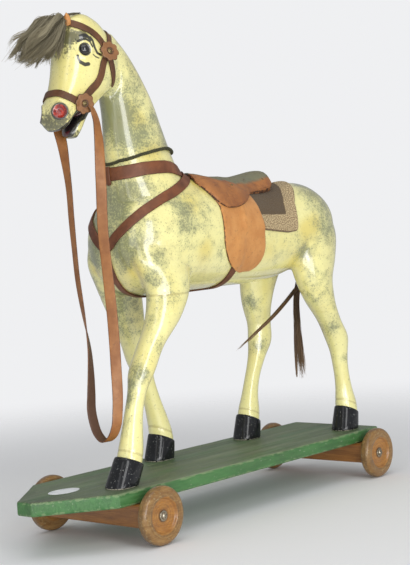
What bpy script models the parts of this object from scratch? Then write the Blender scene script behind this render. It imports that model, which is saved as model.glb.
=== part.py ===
# Toy horse on wheels: a carved, painted horse with leather tack, on a wheeled board.
# Metres, +Z up. The horse faces -X, its left side is -Y, and the floor is at z = 0.
# The origin is on the floor under the middle of the board.

import math

import bmesh
import bpy
import numpy as np
from mathutils import Matrix, Vector
from mathutils.bvhtree import BVHTree

# Clearance between pieces that touch
GAP = 0.0003

# Board
BOARD_LENGTH = 0.619
BOARD_WIDTH = 0.152
BOARD_THICKNESS = 0.017
BOARD_NOSE_WIDTH = 0.024
BOARD_NOSE_TAPER = 0.080
BOARD_EDGE_ROUND = 0.0015

# Wheels and axle beams
WHEEL_DIAMETER = 0.070
WHEEL_THICKNESS = 0.014
WHEEL_RIM_ROUND = 0.0055
WHEEL_RECESS_DIAMETER = 0.045
WHEEL_RECESS_DEPTH = 0.0035
WHEEL_BORE = 0.0052
WHEEL_SIDES = 28
REAR_OVERHANG = 0.0355
WHEELBASE = 0.457
BEAM_LENGTH = 0.176
BEAM_WIDTH = 0.042
BEAM_HEIGHT = 0.028
BEAM_BELOW_AXLE = 0.013

# Screws and washers
WHEEL_SCREW_SHANK = 0.005
WHEEL_SCREW_HEAD = 0.0085
WHEEL_SCREW_HEAD_HEIGHT = 0.003
WHEEL_SCREW_BITE = 0.022
WASHER_DIAMETER = 0.0125
WASHER_THICKNESS = 0.001
WOOD_SCREW_SHANK = 0.004
WOOD_SCREW_HEAD = 0.008
BEAM_SCREW_SPACING = 0.050
BEAM_SCREW_BITE = 0.010
HOOF_SCREW_BITE = 0.014
SCREW_SIDES = 10

# Horse: heights are above the board's top
CHEST_X = -0.149
RUMP_X = 0.290
WITHERS_HEIGHT = 0.376
BELLY_HEIGHT = 0.223
BODY_WIDTH = 0.134
POLL_X = -0.163
POLL_ABOVE_WITHERS = 0.192
HEAD_LENGTH = 0.142
HEAD_WIDTH = 0.060
NECK_WIDTH = 0.056
LEG_SPACING = 0.092
HOOF_LENGTH = 0.041
HOOF_WIDTH = 0.034
HOOF_FRONT_HEIGHT = 0.038
HOOF_HEEL_HEIGHT = 0.020
LEG_SEAM_HEIGHT = 0.2205
NECK_SEAM_ABOVE_WITHERS = 0.005
EYE_DIAMETER = 0.0150
EYE_X = -0.1885
EYE_BELOW_POLL = 0.044
EYE_STANDS_OUT = 0.0042
NOSTRIL_DIAMETER = 0.0135
NOSTRIL_X = -0.2262
NOSTRIL_BELOW_POLL = 0.118
NOSTRIL_DEPTH = 0.003

# How finely the carved form is made, and how many triangles it keeps
FORM_VOXEL = 0.0036
FORM_SMOOTHING = 5
FORM_TRIANGLES = 4400

# Tack
LEATHER = 0.0018
BRIDLE_WIDTH = 0.0092
REIN_WIDTH = 0.013
COLLAR_WIDTH = 0.017
COLLAR_STEPS = 32
BREAST_WIDTH = 0.0145
MARTINGALE_WIDTH = 0.010
GIRTH_WIDTH = 0.0125
GIRTH_X = 0.031
CORD_DIAMETER = 0.0030
CORD_STEPS = 36
ROSETTE_DIAMETER = 0.0235
ROSETTE_THICKNESS = 0.0025
ROSETTE_LOBES = 8
RIVET_DIAMETER = 0.0085
EAR_LENGTH = 0.014
EAR_WIDTH = 0.011

# Saddle
SADDLE_FRONT_X = 0.002
SADDLE_LENGTH = 0.157
SKIRT_FORWARD = 0.018
SADDLE_DIP = 0.012
CANTLE_HEIGHT = 0.026
POMMEL_HEIGHT = 0.006
SKIRT_THICKNESS = 0.0028
FLAP_THICKNESS = 0.0022
CLOTH_THICKNESS = 0.0024
CLOTH_FRONT_X = 0.040
CLOTH_REAR_X = 0.209

RADIUS = WHEEL_DIAMETER / 2
AXLE_HEIGHT = RADIUS
BOARD_BOTTOM = AXLE_HEIGHT - BEAM_BELOW_AXLE + BEAM_HEIGHT + GAP
BOARD_TOP = BOARD_BOTTOM + BOARD_THICKNESS
REAR_AXLE_X = BOARD_LENGTH / 2 - REAR_OVERHANG
FRONT_AXLE_X = REAR_AXLE_X - WHEELBASE
HUB_INSIDE = BEAM_LENGTH / 2 + GAP
HUB_OUTSIDE = HUB_INSIDE + WHEEL_THICKNESS - WHEEL_RECESS_DEPTH
GROUND = BOARD_TOP + GAP
NECK_SEAM_HEIGHT = WITHERS_HEIGHT + NECK_SEAM_ABOVE_WITHERS
POLL_HEIGHT = WITHERS_HEIGHT + POLL_ABOVE_WITHERS
EYE_HEIGHT = POLL_HEIGHT - EYE_BELOW_POLL
NOSTRIL_HEIGHT = POLL_HEIGHT - NOSTRIL_BELOW_POLL


# Scene and materials

def clear_scene():
    for old in list(bpy.data.objects):
        bpy.data.objects.remove(old, do_unlink=True)


def collection(name):
    made = bpy.data.collections.new(name)
    bpy.context.scene.collection.children.link(made)
    return made


def finish(name, colour, roughness, metallic=0.0):
    material = bpy.data.materials.new(name)
    material.use_nodes = True
    shader = material.node_tree.nodes["Principled BSDF"]
    shader.inputs["Base Color"].default_value = (*colour, 1)
    shader.inputs["Roughness"].default_value = roughness
    shader.inputs["Metallic"].default_value = metallic
    return material


clear_scene()
horse_parts = collection("toy_horse_on_wheels")
cutters = collection("cutters")

green_paint = finish("green_paint", (0.10, 0.24, 0.10), 0.55)
turned_wood = finish("turned_wood", (0.42, 0.22, 0.07), 0.40)
beam_wood = finish("beam_wood", (0.36, 0.15, 0.04), 0.40)
steel = finish("steel", (0.45, 0.42, 0.36), 0.35, 0.9)
cream_paint = finish("cream_paint", (0.83, 0.76, 0.42), 0.22)
black_paint = finish("black_paint", (0.012, 0.012, 0.014), 0.18)
eye_glass = finish("eye_glass", (0.004, 0.004, 0.005), 0.03)
brown_leather = finish("brown_leather", (0.16, 0.055, 0.03), 0.50)
tan_leather = finish("tan_leather", (0.42, 0.17, 0.06), 0.55)
suede = finish("suede", (0.45, 0.19, 0.07), 0.75)
seat_leather = finish("seat_leather", (0.33, 0.15, 0.08), 0.60)
horsehair = finish("horsehair", (0.08, 0.06, 0.04), 0.60)
grey_hair = finish("grey_hair", (0.22, 0.19, 0.14), 0.65)
dark_cord = finish("dark_cord", (0.03, 0.03, 0.018), 0.80)
tweed = finish("tweed", (0.30, 0.20, 0.12), 0.90)


# Small tools for solids

def add(name, mesh, material, guide=False):
    made = bpy.data.objects.new(name, mesh)
    (cutters if guide else horse_parts).objects.link(made)
    if guide:
        made.hide_render = True
        made.display_type = "WIRE"
    else:
        mesh.materials.clear()
        mesh.materials.append(material)
    return made


def closed_mesh(name, points, faces):
    bm = bmesh.new()
    verts = [bm.verts.new(p) for p in points]
    for face in faces:
        bm.faces.new([verts[i] for i in face])
    bmesh.ops.recalc_face_normals(bm, faces=bm.faces)
    mesh = bpy.data.meshes.new(name)
    bm.to_mesh(mesh)
    bm.free()
    mesh.shade_smooth()
    mesh.set_sharp_from_angle(angle=math.radians(40))
    return mesh


def loft(name, rings, closed=False):
    # Skin over rings of equal point count; open ends are closed with a fan
    count = len(rings[0])
    points = [Vector(p) for ring in rings for p in ring]
    faces = []
    spans = len(rings) if closed else len(rings) - 1
    for i in range(spans):
        a, b = i * count, ((i + 1) % len(rings)) * count
        for j in range(count):
            k = (j + 1) % count
            faces.append((a + j, a + k, b + k, b + j))
    if not closed:
        for start, ring in ((0, rings[0]), ((len(rings) - 1) * count, rings[-1])):
            centre = sum((Vector(p) for p in ring), Vector()) / count
            points.append(centre)
            for j in range(count):
                faces.append((start + j, start + (j + 1) % count, len(points) - 1))
    return closed_mesh(name, points, faces)


def through(rows, count):
    # Smooth curve through the rows, read at even steps; the first three columns are the place
    rows = np.array(rows, float)
    chord = np.linalg.norm(np.diff(rows[:, :3], axis=0), axis=1)
    knots = np.concatenate([[0], np.cumsum(chord)])
    slope = np.gradient(rows, knots, axis=0)
    steps = np.linspace(0, knots[-1], count)
    i = np.clip(np.searchsorted(knots, steps, side="right") - 1, 0, len(knots) - 2)
    h = (knots[i + 1] - knots[i])[:, None]
    u = (steps - knots[i])[:, None] / h
    return ((2 * u**3 - 3 * u**2 + 1) * rows[i] + (u**3 - 2 * u**2 + u) * h * slope[i]
            + (3 * u**2 - 2 * u**3) * rows[i + 1] + (u**3 - u**2) * h * slope[i + 1])


def oval(centre, across, up, half_across, half_up, sides, power=2.0):
    ring = []
    for j in range(sides):
        angle = 2 * math.pi * j / sides
        c, s = math.cos(angle), math.sin(angle)
        a = math.copysign(abs(c) ** (2 / power), c) * half_across
        b = math.copysign(abs(s) ** (2 / power), s) * half_up
        ring.append(Vector(centre) + across * a + up * b)
    return ring


def turned(name, profile, steps, material, guide=False):
    # Profile of (radius, z); it is a closed loop when its last point repeats its first
    loop = profile[0] == profile[-1]
    points = profile[:-1] if loop else profile
    count = len(points)
    edges = [(i, (i + 1) % count) for i in range(count if loop else count - 1)]
    mesh = bpy.data.meshes.new(name)
    mesh.from_pydata([(r, 0, z) for r, z in points], edges, [])
    made = add(name, mesh, material, guide)
    screw = made.modifiers.new("turn", "SCREW")
    screw.axis = "Z"
    screw.steps = screw.render_steps = steps
    screw.use_merge_vertices = True
    screw.merge_threshold = 0.00001
    screw.use_normal_calculate = True
    bm = bmesh.new()
    bm.from_mesh(evaluated_mesh(made))
    screw.use_normal_flip = bm.calc_volume(signed=True) < 0
    bm.free()
    return made


def cylinder(name, radius, start, direction, length, sides=SCREW_SIDES):
    # Cutter: a plain cylinder from a start point along a direction
    mesh = bpy.data.meshes.new(name)
    bm = bmesh.new()
    bmesh.ops.create_cone(bm, cap_ends=True, segments=sides, radius1=radius, radius2=radius, depth=length)
    bm.to_mesh(mesh)
    bm.free()
    made = add(name, mesh, None, guide=True)
    turn = Vector((0, 0, 1)).rotation_difference(Vector(direction)).to_matrix().to_4x4()
    made.matrix_world = Matrix.Translation(Vector(start) + Vector(direction) * length / 2) @ turn
    return made


def cut(target, cutter):
    boolean = target.modifiers.new("cut", "BOOLEAN")
    boolean.operation = "DIFFERENCE"
    boolean.object = cutter


def evaluated_mesh(made):
    bpy.context.view_layer.update()
    graph = bpy.context.evaluated_depsgraph_get()
    return bpy.data.meshes.new_from_object(made.evaluated_get(graph))


# Board, beams, wheels and screws

def make_board():
    half_length, half_width, nose = BOARD_LENGTH / 2, BOARD_WIDTH / 2, BOARD_NOSE_WIDTH / 2
    shoulder = -half_length + BOARD_NOSE_TAPER
    corners = [(half_length, -half_width), (half_length, half_width), (shoulder, half_width),
               (-half_length, nose), (-half_length, -nose), (shoulder, -half_width)]
    outline = bpy.data.curves.new("platform_board", "CURVE")
    outline.dimensions = "2D"
    outline.fill_mode = "BOTH"
    outline.extrude = BOARD_THICKNESS / 2
    spline = outline.splines.new("POLY")
    spline.points.add(len(corners) - 1)
    for point, (x, y) in zip(spline.points, corners):
        point.co = (x, y, 0, 1)
    spline.use_cyclic_u = True
    flat = add("board_outline", outline, None, guide=True)
    mesh = evaluated_mesh(flat)
    bm = bmesh.new()
    bm.from_mesh(mesh)
    bmesh.ops.remove_doubles(bm, verts=bm.verts, dist=0.00001)
    bmesh.ops.recalc_face_normals(bm, faces=bm.faces)
    bm.to_mesh(mesh)
    bm.free()
    bpy.data.objects.remove(flat)
    board = add("platform_board", mesh, green_paint)
    board.location.z = BOARD_BOTTOM + BOARD_THICKNESS / 2
    edge = board.modifiers.new("eased_edges", "BEVEL")
    edge.width = BOARD_EDGE_ROUND
    edge.segments = 1
    edge.limit_method = "ANGLE"
    return board


def make_beam(name, x):
    mesh = bpy.data.meshes.new(name)
    bm = bmesh.new()
    bmesh.ops.create_cube(bm, size=1)
    bmesh.ops.scale(bm, vec=(BEAM_WIDTH, BEAM_LENGTH, BEAM_HEIGHT), verts=bm.verts)
    bm.to_mesh(mesh)
    bm.free()
    beam = add(name, mesh, beam_wood)
    beam.location = (x, 0, AXLE_HEIGHT - BEAM_BELOW_AXLE + BEAM_HEIGHT / 2)
    edge = beam.modifiers.new("eased_edges", "BEVEL")
    edge.width = BOARD_EDGE_ROUND
    edge.segments = 1
    return beam


def make_wheel(name, x, side):
    half = WHEEL_THICKNESS / 2
    bore, recess = WHEEL_BORE / 2, WHEEL_RECESS_DIAMETER / 2
    rim = WHEEL_RIM_ROUND
    floor = half - WHEEL_RECESS_DEPTH
    lip = recess + 0.3 * (RADIUS - rim - recess)
    corner = [(RADIUS - rim + rim * math.sin(a), half - rim + rim * math.cos(a))
              for a in (math.radians(d) for d in (15, 50, 90))]
    profile = [(bore, floor), (recess - WHEEL_RECESS_DEPTH, floor), (recess, half - 0.5 * WHEEL_RECESS_DEPTH),
               (lip, half)] + corner
    profile += [(r, -z) for r, z in reversed(corner)] + [(bore, -half), (bore, floor)]
    wheel = turned(name, profile, WHEEL_SIDES, turned_wood)
    wheel.location = (x, side * (HUB_INSIDE + half), AXLE_HEIGHT)
    wheel.rotation_euler = (-side * math.pi / 2, 0, 0)
    return wheel


def screw_profile(shank, head, head_height, length, countersunk):
    # The head's top is at z = 0 and the point is at -length
    r, h = shank / 2, head / 2
    if countersunk:
        top = [(0, 0), (h, 0), (h, -0.15 * head_height)]
    else:
        top = [(0, 0), (0.55 * h, -0.12 * head_height), (0.88 * h, -0.45 * head_height), (h, -head_height)]
    return top + [(r, -head_height), (r, -length + 2 * r), (0, -length)]


def make_wheel_fixing(tag, x, side):
    head_top = HUB_OUTSIDE + WASHER_THICKNESS + 2 * GAP + WHEEL_SCREW_HEAD_HEIGHT
    length = head_top - BEAM_LENGTH / 2 + WHEEL_SCREW_BITE
    screw = turned("wheel_screw_" + tag, screw_profile(WHEEL_SCREW_SHANK, WHEEL_SCREW_HEAD,
                   WHEEL_SCREW_HEAD_HEIGHT, length, False), SCREW_SIDES, steel)
    screw.location = (x, side * head_top, AXLE_HEIGHT)
    screw.rotation_euler = (-side * math.pi / 2, 0, 0)
    inner, outer, half = WHEEL_BORE / 2, WASHER_DIAMETER / 2, WASHER_THICKNESS / 2
    ring = [(inner, half), (outer, half), (outer, -half), (inner, -half), (inner, half)]
    washer = turned("wheel_washer_" + tag, ring, 16, steel)
    washer.location = (x, side * (HUB_OUTSIDE + GAP + half), AXLE_HEIGHT)
    washer.rotation_euler = (-side * math.pi / 2, 0, 0)
    return length - head_top + BEAM_LENGTH / 2


def make_up_screw(name, x, y, head_z, length):
    # A countersunk screw driven upwards, its head at head_z
    screw = turned(name, screw_profile(WOOD_SCREW_SHANK, WOOD_SCREW_HEAD, 0.5 * WOOD_SCREW_HEAD, length, True),
                   SCREW_SIDES, steel)
    screw.location = (x, y, head_z)
    screw.rotation_euler = (math.pi, 0, 0)
    return screw


def up_screw_hole(targets, tag, x, y, head_z, length):
    shank, head = WOOD_SCREW_SHANK / 2 + GAP, WOOD_SCREW_HEAD / 2 + GAP
    hole = turned("hole_" + tag, [(0, length + GAP), (shank, length + GAP), (shank, 0.5 * WOOD_SCREW_HEAD + GAP),
                  (head, 0.1 * WOOD_SCREW_HEAD), (head, -0.001), (0, -0.001)], SCREW_SIDES, None, guide=True)
    hole.location = (x, y, head_z)
    for target in targets:
        cut(target, hole)


board = make_board()
beams = {"front": make_beam("front_axle_beam", FRONT_AXLE_X), "rear": make_beam("rear_axle_beam", REAR_AXLE_X)}
for end, x in (("front", FRONT_AXLE_X), ("rear", REAR_AXLE_X)):
    for hand, side in (("left", -1), ("right", 1)):
        tag = f"{end}_{hand}"
        make_wheel("wheel_" + tag, x, side)
        make_wheel_fixing(tag, x, side)
        bite = cylinder("bite_" + tag, WHEEL_SCREW_SHANK / 2 + GAP, (x, side * (BEAM_LENGTH / 2 + 0.001), AXLE_HEIGHT),
                        (0, -side, 0), WHEEL_SCREW_BITE + 0.001 + GAP)
        cut(beams[end], bite)
        beam_bottom = AXLE_HEIGHT - BEAM_BELOW_AXLE
        screw_y = side * BEAM_SCREW_SPACING / 2
        length = BEAM_HEIGHT + GAP + BEAM_SCREW_BITE
        make_up_screw("beam_screw_" + tag, x, screw_y, beam_bottom, length)
        up_screw_hole((beams[end], board), "beam_" + tag, x, screw_y, beam_bottom, length)


# The carved form: trunk, neck, head, jaw and legs as lofts, grown together and smoothed

def trunk_rings():
    span = RUMP_X - CHEST_X
    back, belly, half = WITHERS_HEIGHT, BELLY_HEIGHT, BODY_WIDTH / 2
    # Share of the length, top height share, bottom height share, half width share
    rows = [(0.000, 0.800, 1.240, 0.40), (0.015, 0.860, 1.150, 0.61), (0.045, 0.915, 1.060, 0.80),
            (0.100, 0.955, 1.005, 0.95), (0.190, 0.985, 1.000, 1.02), (0.280, 1.000, 1.000, 1.01),
            (0.370, 0.995, 1.003, 0.99), (0.490, 0.957, 1.008, 0.97), (0.605, 0.940, 1.012, 0.94),
            (0.715, 0.943, 1.035, 0.93), (0.800, 0.960, 1.080, 0.95), (0.880, 0.963, 1.130, 0.90),
            (0.940, 0.930, 1.180, 0.76), (0.980, 0.880, 1.220, 0.52), (1.000, 0.825, 1.270, 0.26)]
    rings = []
    for share, top, bottom, width in through([(r[0], 0, 0, *r[1:]) for r in rows], 26)[:, [0, 3, 4, 5]]:
        high, low = top * back, bottom * belly
        centre = (CHEST_X + share * span, 0, BOARD_TOP + (high + low) / 2)
        rings.append(oval(centre, Vector((0, 1, 0)), Vector((0, 0, 1)), width * half, (high - low) / 2, 24, 2.15))
    return rings


def path_rings(rows, count, sides, power=2.0):
    # Rows of x, height, thickness along the path's normal, width; rings lie square to the path
    path = through([(x, 0, z, depth, width) for x, z, depth, width in rows], count)
    along = np.gradient(path[:, :3], axis=0)
    rings = []
    for row, step in zip(path, along):
        forward = Vector(step).normalized()
        across = Vector((0, 1, 0))
        normal = forward.cross(across)
        centre = Vector((row[0], 0, BOARD_TOP + row[2]))
        rings.append(oval(centre, across, normal, row[4] / 2, row[3] / 2, sides, power))
    return rings


def neck_rings():
    base_x, rise = -0.080, POLL_HEIGHT - WITHERS_HEIGHT
    w = NECK_WIDTH
    return path_rings([
        (base_x + 0.012, WITHERS_HEIGHT - 0.24 * rise, 0.135, 2.05 * w),
        (base_x + 0.004, WITHERS_HEIGHT - 0.06 * rise, 0.119, 1.62 * w),
        (base_x + 0.000, WITHERS_HEIGHT + 0.11 * rise, 0.109, 1.27 * w),
        (base_x - 0.005, WITHERS_HEIGHT + 0.27 * rise, 0.099, 1.07 * w),
        (base_x - 0.0125, WITHERS_HEIGHT + 0.43 * rise, 0.087, 0.96 * w),
        (base_x - 0.0245, WITHERS_HEIGHT + 0.58 * rise, 0.073, 0.88 * w),
        (base_x - 0.042, WITHERS_HEIGHT + 0.72 * rise, 0.064, 0.84 * w),
        (base_x - 0.064, WITHERS_HEIGHT + 0.84 * rise, 0.056, 0.80 * w)], 18, 20)


def between_rings(rows, count, sides, power=2.0):
    # Rows of front x, front height, back x, back height and width, set out from the poll
    shape = through([(fx, 0, fz, bx, bz, w) for fx, fz, bx, bz, w in rows], count)
    rings = []
    for fx, _, fz, bx, bz, width in shape:
        front = Vector((POLL_X + fx * HEAD_LENGTH, 0, BOARD_TOP + POLL_HEIGHT + fz * HEAD_LENGTH))
        back = Vector((POLL_X + bx * HEAD_LENGTH, 0, BOARD_TOP + POLL_HEIGHT + bz * HEAD_LENGTH))
        reach = (front - back) / 2
        rings.append(oval((front + back) / 2, Vector((0, 1, 0)), reach.normalized(), width * HEAD_WIDTH / 2,
                          reach.length, sides, power))
    return rings


HEAD_ROWS = [(-0.130, 0.020, 0.000, 0.010, 0.40), (-0.225, -0.035, 0.130, -0.060, 0.70),
             (-0.290, -0.150, 0.258, -0.230, 0.92), (-0.322, -0.300, 0.322, -0.430, 1.02),
             (-0.335, -0.430, 0.255, -0.580, 0.99), (-0.358, -0.560, 0.108, -0.680, 0.91),
             (-0.398, -0.680, -0.038, -0.765, 0.80), (-0.443, -0.770, -0.140, -0.815, 0.74),
             (-0.484, -0.855, -0.268, -0.873, 0.76), (-0.486, -0.925, -0.325, -0.930, 0.68),
             (-0.455, -0.985, -0.380, -0.980, 0.42)]
JAW_ROWS = [(-0.050, -0.705, 0.110, -0.665, 0.66), (-0.165, -0.810, -0.028, -0.775, 0.62),
            (-0.222, -0.895, -0.108, -0.875, 0.54), (-0.263, -0.975, -0.158, -0.970, 0.46),
            (-0.284, -1.035, -0.203, -1.045, 0.32)]

# Horizontal slices of a leg: height, fore-and-aft size, width, distance from the middle plane
FORE_LEG = [(0.305, 0.080, 0.040, 0.034), (0.265, 0.090, 0.048, 0.041), (0.237, 0.074, 0.048, 0.044),
            (0.197, 0.055, 0.043, 0.046), (0.160, 0.0370, 0.033, 0.046), (0.131, 0.0350, 0.0315, 0.046),
            (0.112, 0.0265, 0.0235, 0.046), (0.090, 0.0245, 0.0220, 0.046), (0.055, 0.0300, 0.0270, 0.046),
            (0.036, 0.0335, 0.0305, 0.046), (0.008, 0.0345, 0.0315, 0.046)]
HIND_LEG = [(0.325, 0.070, 0.044, 0.034), (0.290, 0.092, 0.056, 0.038), (0.250, 0.082, 0.054, 0.042),
            (0.225, 0.066, 0.047, 0.044), (0.198, 0.054, 0.040, 0.046), (0.163, 0.0390, 0.032, 0.046),
            (0.136, 0.0400, 0.0310, 0.046), (0.115, 0.0290, 0.0250, 0.046), (0.088, 0.0240, 0.0215, 0.046),
            (0.060, 0.0265, 0.0240, 0.046), (0.038, 0.0335, 0.0305, 0.046), (0.008, 0.0350, 0.0320, 0.046)]
LEG_HALF_SPACING = 0.046
CORONET_LENGTH = 0.0360
CORONET_WIDTH = 0.0330

# Each leg's centreline, as (height, x), and how far the hoof's sole lies ahead of its top
LEGS = {
    "front_left": (FORE_LEG, -1, [(0.305, -0.098), (0.262, -0.097), (0.230, -0.095), (0.194, -0.110),
                                  (0.160, -0.133), (0.134, -0.1480), (0.095, -0.1640), (0.034, -0.1785),
                                  (0.008, -0.186)], 0.016),
    "front_right": (FORE_LEG, 1, [(0.305, -0.098), (0.262, -0.093), (0.230, -0.085), (0.197, -0.075),
                                  (0.160, -0.066), (0.128, -0.0555), (0.085, -0.0400), (0.034, -0.0260),
                                  (0.008, -0.022)], 0.007),
    "rear_left": (HIND_LEG, -1, [(0.325, 0.228), (0.290, 0.226), (0.250, 0.220), (0.220, 0.218), (0.197, 0.224),
                                 (0.163, 0.245), (0.138, 0.2600), (0.093, 0.2665), (0.034, 0.2745),
                                 (0.008, 0.277)], 0.007),
    "rear_right": (HIND_LEG, 1, [(0.325, 0.225), (0.290, 0.220), (0.250, 0.207), (0.213, 0.198), (0.184, 0.196),
                                 (0.158, 0.198), (0.134, 0.1960), (0.114, 0.187), (0.081, 0.1720),
                                 (0.032, 0.1600), (0.008, 0.157)], 0.007),
}


def leg_rings(sections, side, line, count, sides):
    rows = through([(0, z, 0, fore, wide, out) for z, fore, wide, out in sections], count)
    heights = [p[0] for p in reversed(line)]
    places = [p[1] for p in reversed(line)]
    rings = []
    for _, z, _, fore, wide, out in rows:
        x = np.interp(z, heights, places)
        y = side * out * LEG_SPACING / (2 * LEG_HALF_SPACING)
        rings.append(oval((x, y, BOARD_TOP + z), Vector((1, 0, 0)), Vector((0, 1, 0)), fore / 2, wide / 2, sides))
    return rings


def joined(name, meshes):
    bm = bmesh.new()
    for mesh in meshes:
        bm.from_mesh(mesh)
    mesh = bpy.data.meshes.new(name)
    bm.to_mesh(mesh)
    bm.free()
    return mesh


def grown_together(name, meshes, voxel, smoothing, triangles):
    # Voxel union of overlapping closed forms, smoothed and thinned
    body = add(name, joined(name, meshes), None, guide=True)
    remesh = body.modifiers.new("union", "REMESH")
    remesh.mode = "VOXEL"
    remesh.voxel_size = voxel
    smooth = body.modifiers.new("smooth", "SMOOTH")
    smooth.factor = 0.5
    smooth.iterations = smoothing
    dense = evaluated_mesh(body)
    thin = body.modifiers.new("thin", "DECIMATE")
    thin.ratio = min(1.0, triangles / (2 * len(dense.polygons)))
    thin.use_collapse_triangulate = True
    mesh = evaluated_mesh(body)
    bpy.data.objects.remove(body)
    return mesh


def carved_form():
    pieces = [loft("trunk", trunk_rings()), loft("neck", neck_rings()),
              loft("head", between_rings(HEAD_ROWS, 20, 20, 2.35)), loft("jaw", between_rings(JAW_ROWS, 9, 16))]
    for sections, side, line, _ in LEGS.values():
        pieces.append(loft("leg", leg_rings(sections, side, line, 26, 16)))
    return grown_together("carved_form", pieces, FORM_VOXEL, FORM_SMOOTHING, FORM_TRIANGLES)


def kept_side(mesh, point, normal):
    # The part of a closed mesh on the side that the normal points to, closed again
    bm = bmesh.new()
    bm.from_mesh(mesh)
    everything = bm.verts[:] + bm.edges[:] + bm.faces[:]
    bmesh.ops.bisect_plane(bm, geom=everything, dist=0.00001, plane_co=point, plane_no=normal, clear_inner=True)
    bmesh.ops.holes_fill(bm, edges=[e for e in bm.edges if e.is_boundary], sides=0)
    bmesh.ops.triangulate(bm, faces=[f for f in bm.faces if len(f.verts) > 3])
    bmesh.ops.recalc_face_normals(bm, faces=bm.faces)
    made = bpy.data.meshes.new(mesh.name)
    bm.to_mesh(made)
    bm.free()
    return made


def piece_near(mesh, place):
    # The one closed body of a mesh that has the vertex nearest to a place
    bm = bmesh.new()
    bm.from_mesh(mesh)
    start = min(bm.verts, key=lambda v: (v.co - Vector(place)).length)
    found, front = {start}, [start]
    while front:
        vert = front.pop()
        for edge in vert.link_edges:
            other = edge.other_vert(vert)
            if other not in found:
                found.add(other)
                front.append(other)
    bmesh.ops.delete(bm, geom=[v for v in bm.verts if v not in found], context="VERTS")
    made = bpy.data.meshes.new(mesh.name)
    bm.to_mesh(made)
    bm.free()
    return made


def coronet(line):
    # Middle and upward normal of the tilted seam between a leg and its hoof
    middle = (HOOF_FRONT_HEIGHT + HOOF_HEEL_HEIGHT) / 2
    x = float(np.interp(middle, [p[0] for p in reversed(line)], [p[1] for p in reversed(line)]))
    slope = (HOOF_FRONT_HEIGHT - HOOF_HEEL_HEIGHT) / HOOF_LENGTH
    return x, middle, Vector((slope, 0, 1)).normalized()


def make_hoof(tag, x, y, middle, normal, lean):
    slope = normal.x / normal.z
    sole, top = GROUND, BOARD_TOP + middle - GAP / (2 * normal.z)
    rings = []
    for share, size in ((0.0, 0.95), (0.035, 1.0), (0.35, 1.0), (0.75, 1.0), (0.96, 1.0), (1.0, 0.95)):
        half_x = size * (HOOF_LENGTH + share * (CORONET_LENGTH - HOOF_LENGTH)) / 2
        half_y = size * (HOOF_WIDTH + share * (CORONET_WIDTH - HOOF_WIDTH)) / 2
        centre = (x - lean * (1 - share), y, sole + share * (top - sole))
        across = Vector((1, 0, -slope * share))
        rings.append(oval(centre, across, Vector((0, 1, 0)), half_x, half_y, 16, 2.6 - 0.5 * share))
    return add("hoof_" + tag, loft("hoof", rings), black_paint)


def sphere(name, radius, place, material, guide=False, segments=16, rings=8):
    mesh = bpy.data.meshes.new(name)
    bm = bmesh.new()
    bmesh.ops.create_uvsphere(bm, u_segments=segments, v_segments=rings, radius=radius)
    bm.to_mesh(mesh)
    bm.free()
    mesh.shade_smooth()
    made = add(name, mesh, material, guide)
    made.location = place
    return made


form = carved_form()
UP, DOWN = Vector((0, 0, 1)), Vector((0, 0, -1))
neck_seam = Vector((-0.1, 0, BOARD_TOP + NECK_SEAM_HEIGHT))
leg_seam = Vector((0, 0, BOARD_TOP + LEG_SEAM_HEIGHT))
half_gap = Vector((0, 0, GAP / 2))

torso = kept_side(kept_side(form, neck_seam - half_gap, DOWN), leg_seam + half_gap, UP)
torso_object = add("torso", torso, cream_paint)
head_and_neck = add("neck_and_head", kept_side(form, neck_seam + half_gap, UP), cream_paint)

lower = kept_side(form, leg_seam - half_gap, DOWN)
for tag, (sections, side, line, lean) in LEGS.items():
    x, middle, normal = coronet(line)
    y = side * LEG_SPACING / 2
    seam = Vector((x, y, BOARD_TOP + middle))
    leg = piece_near(lower, (float(np.interp(0.1, [p[0] for p in reversed(line)], [p[1] for p in reversed(line)])),
                             y, BOARD_TOP + 0.1))
    add("leg_" + tag, kept_side(leg, seam + normal * GAP / 2, normal), cream_paint)
    hoof = make_hoof(tag, x, y, middle, normal, lean)
    screw_length = BOARD_THICKNESS + HOOF_SCREW_BITE
    make_up_screw("hoof_screw_" + tag, x - lean, y, BOARD_BOTTOM, screw_length)
    up_screw_hole((board, hoof), "hoof_" + tag, x - lean, y, BOARD_BOTTOM, screw_length)


# Laying leather and cloth on the carved form

def tree_of(meshes):
    verts, faces = [], []
    for mesh in meshes:
        start = len(verts)
        verts += [v.co.copy() for v in mesh.vertices]
        faces += [tuple(start + i for i in f.vertices) for f in mesh.polygons]
    return BVHTree.FromPolygons(verts, faces)


def height_over(tree, point, normal, reach=0.006):
    # How far a point stands above the ground, measured along its own normal
    hit = tree.ray_cast(point + normal * reach, -normal, 5 * reach)
    return None if hit[0] is None else (point - hit[0]).dot(normal)


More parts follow.
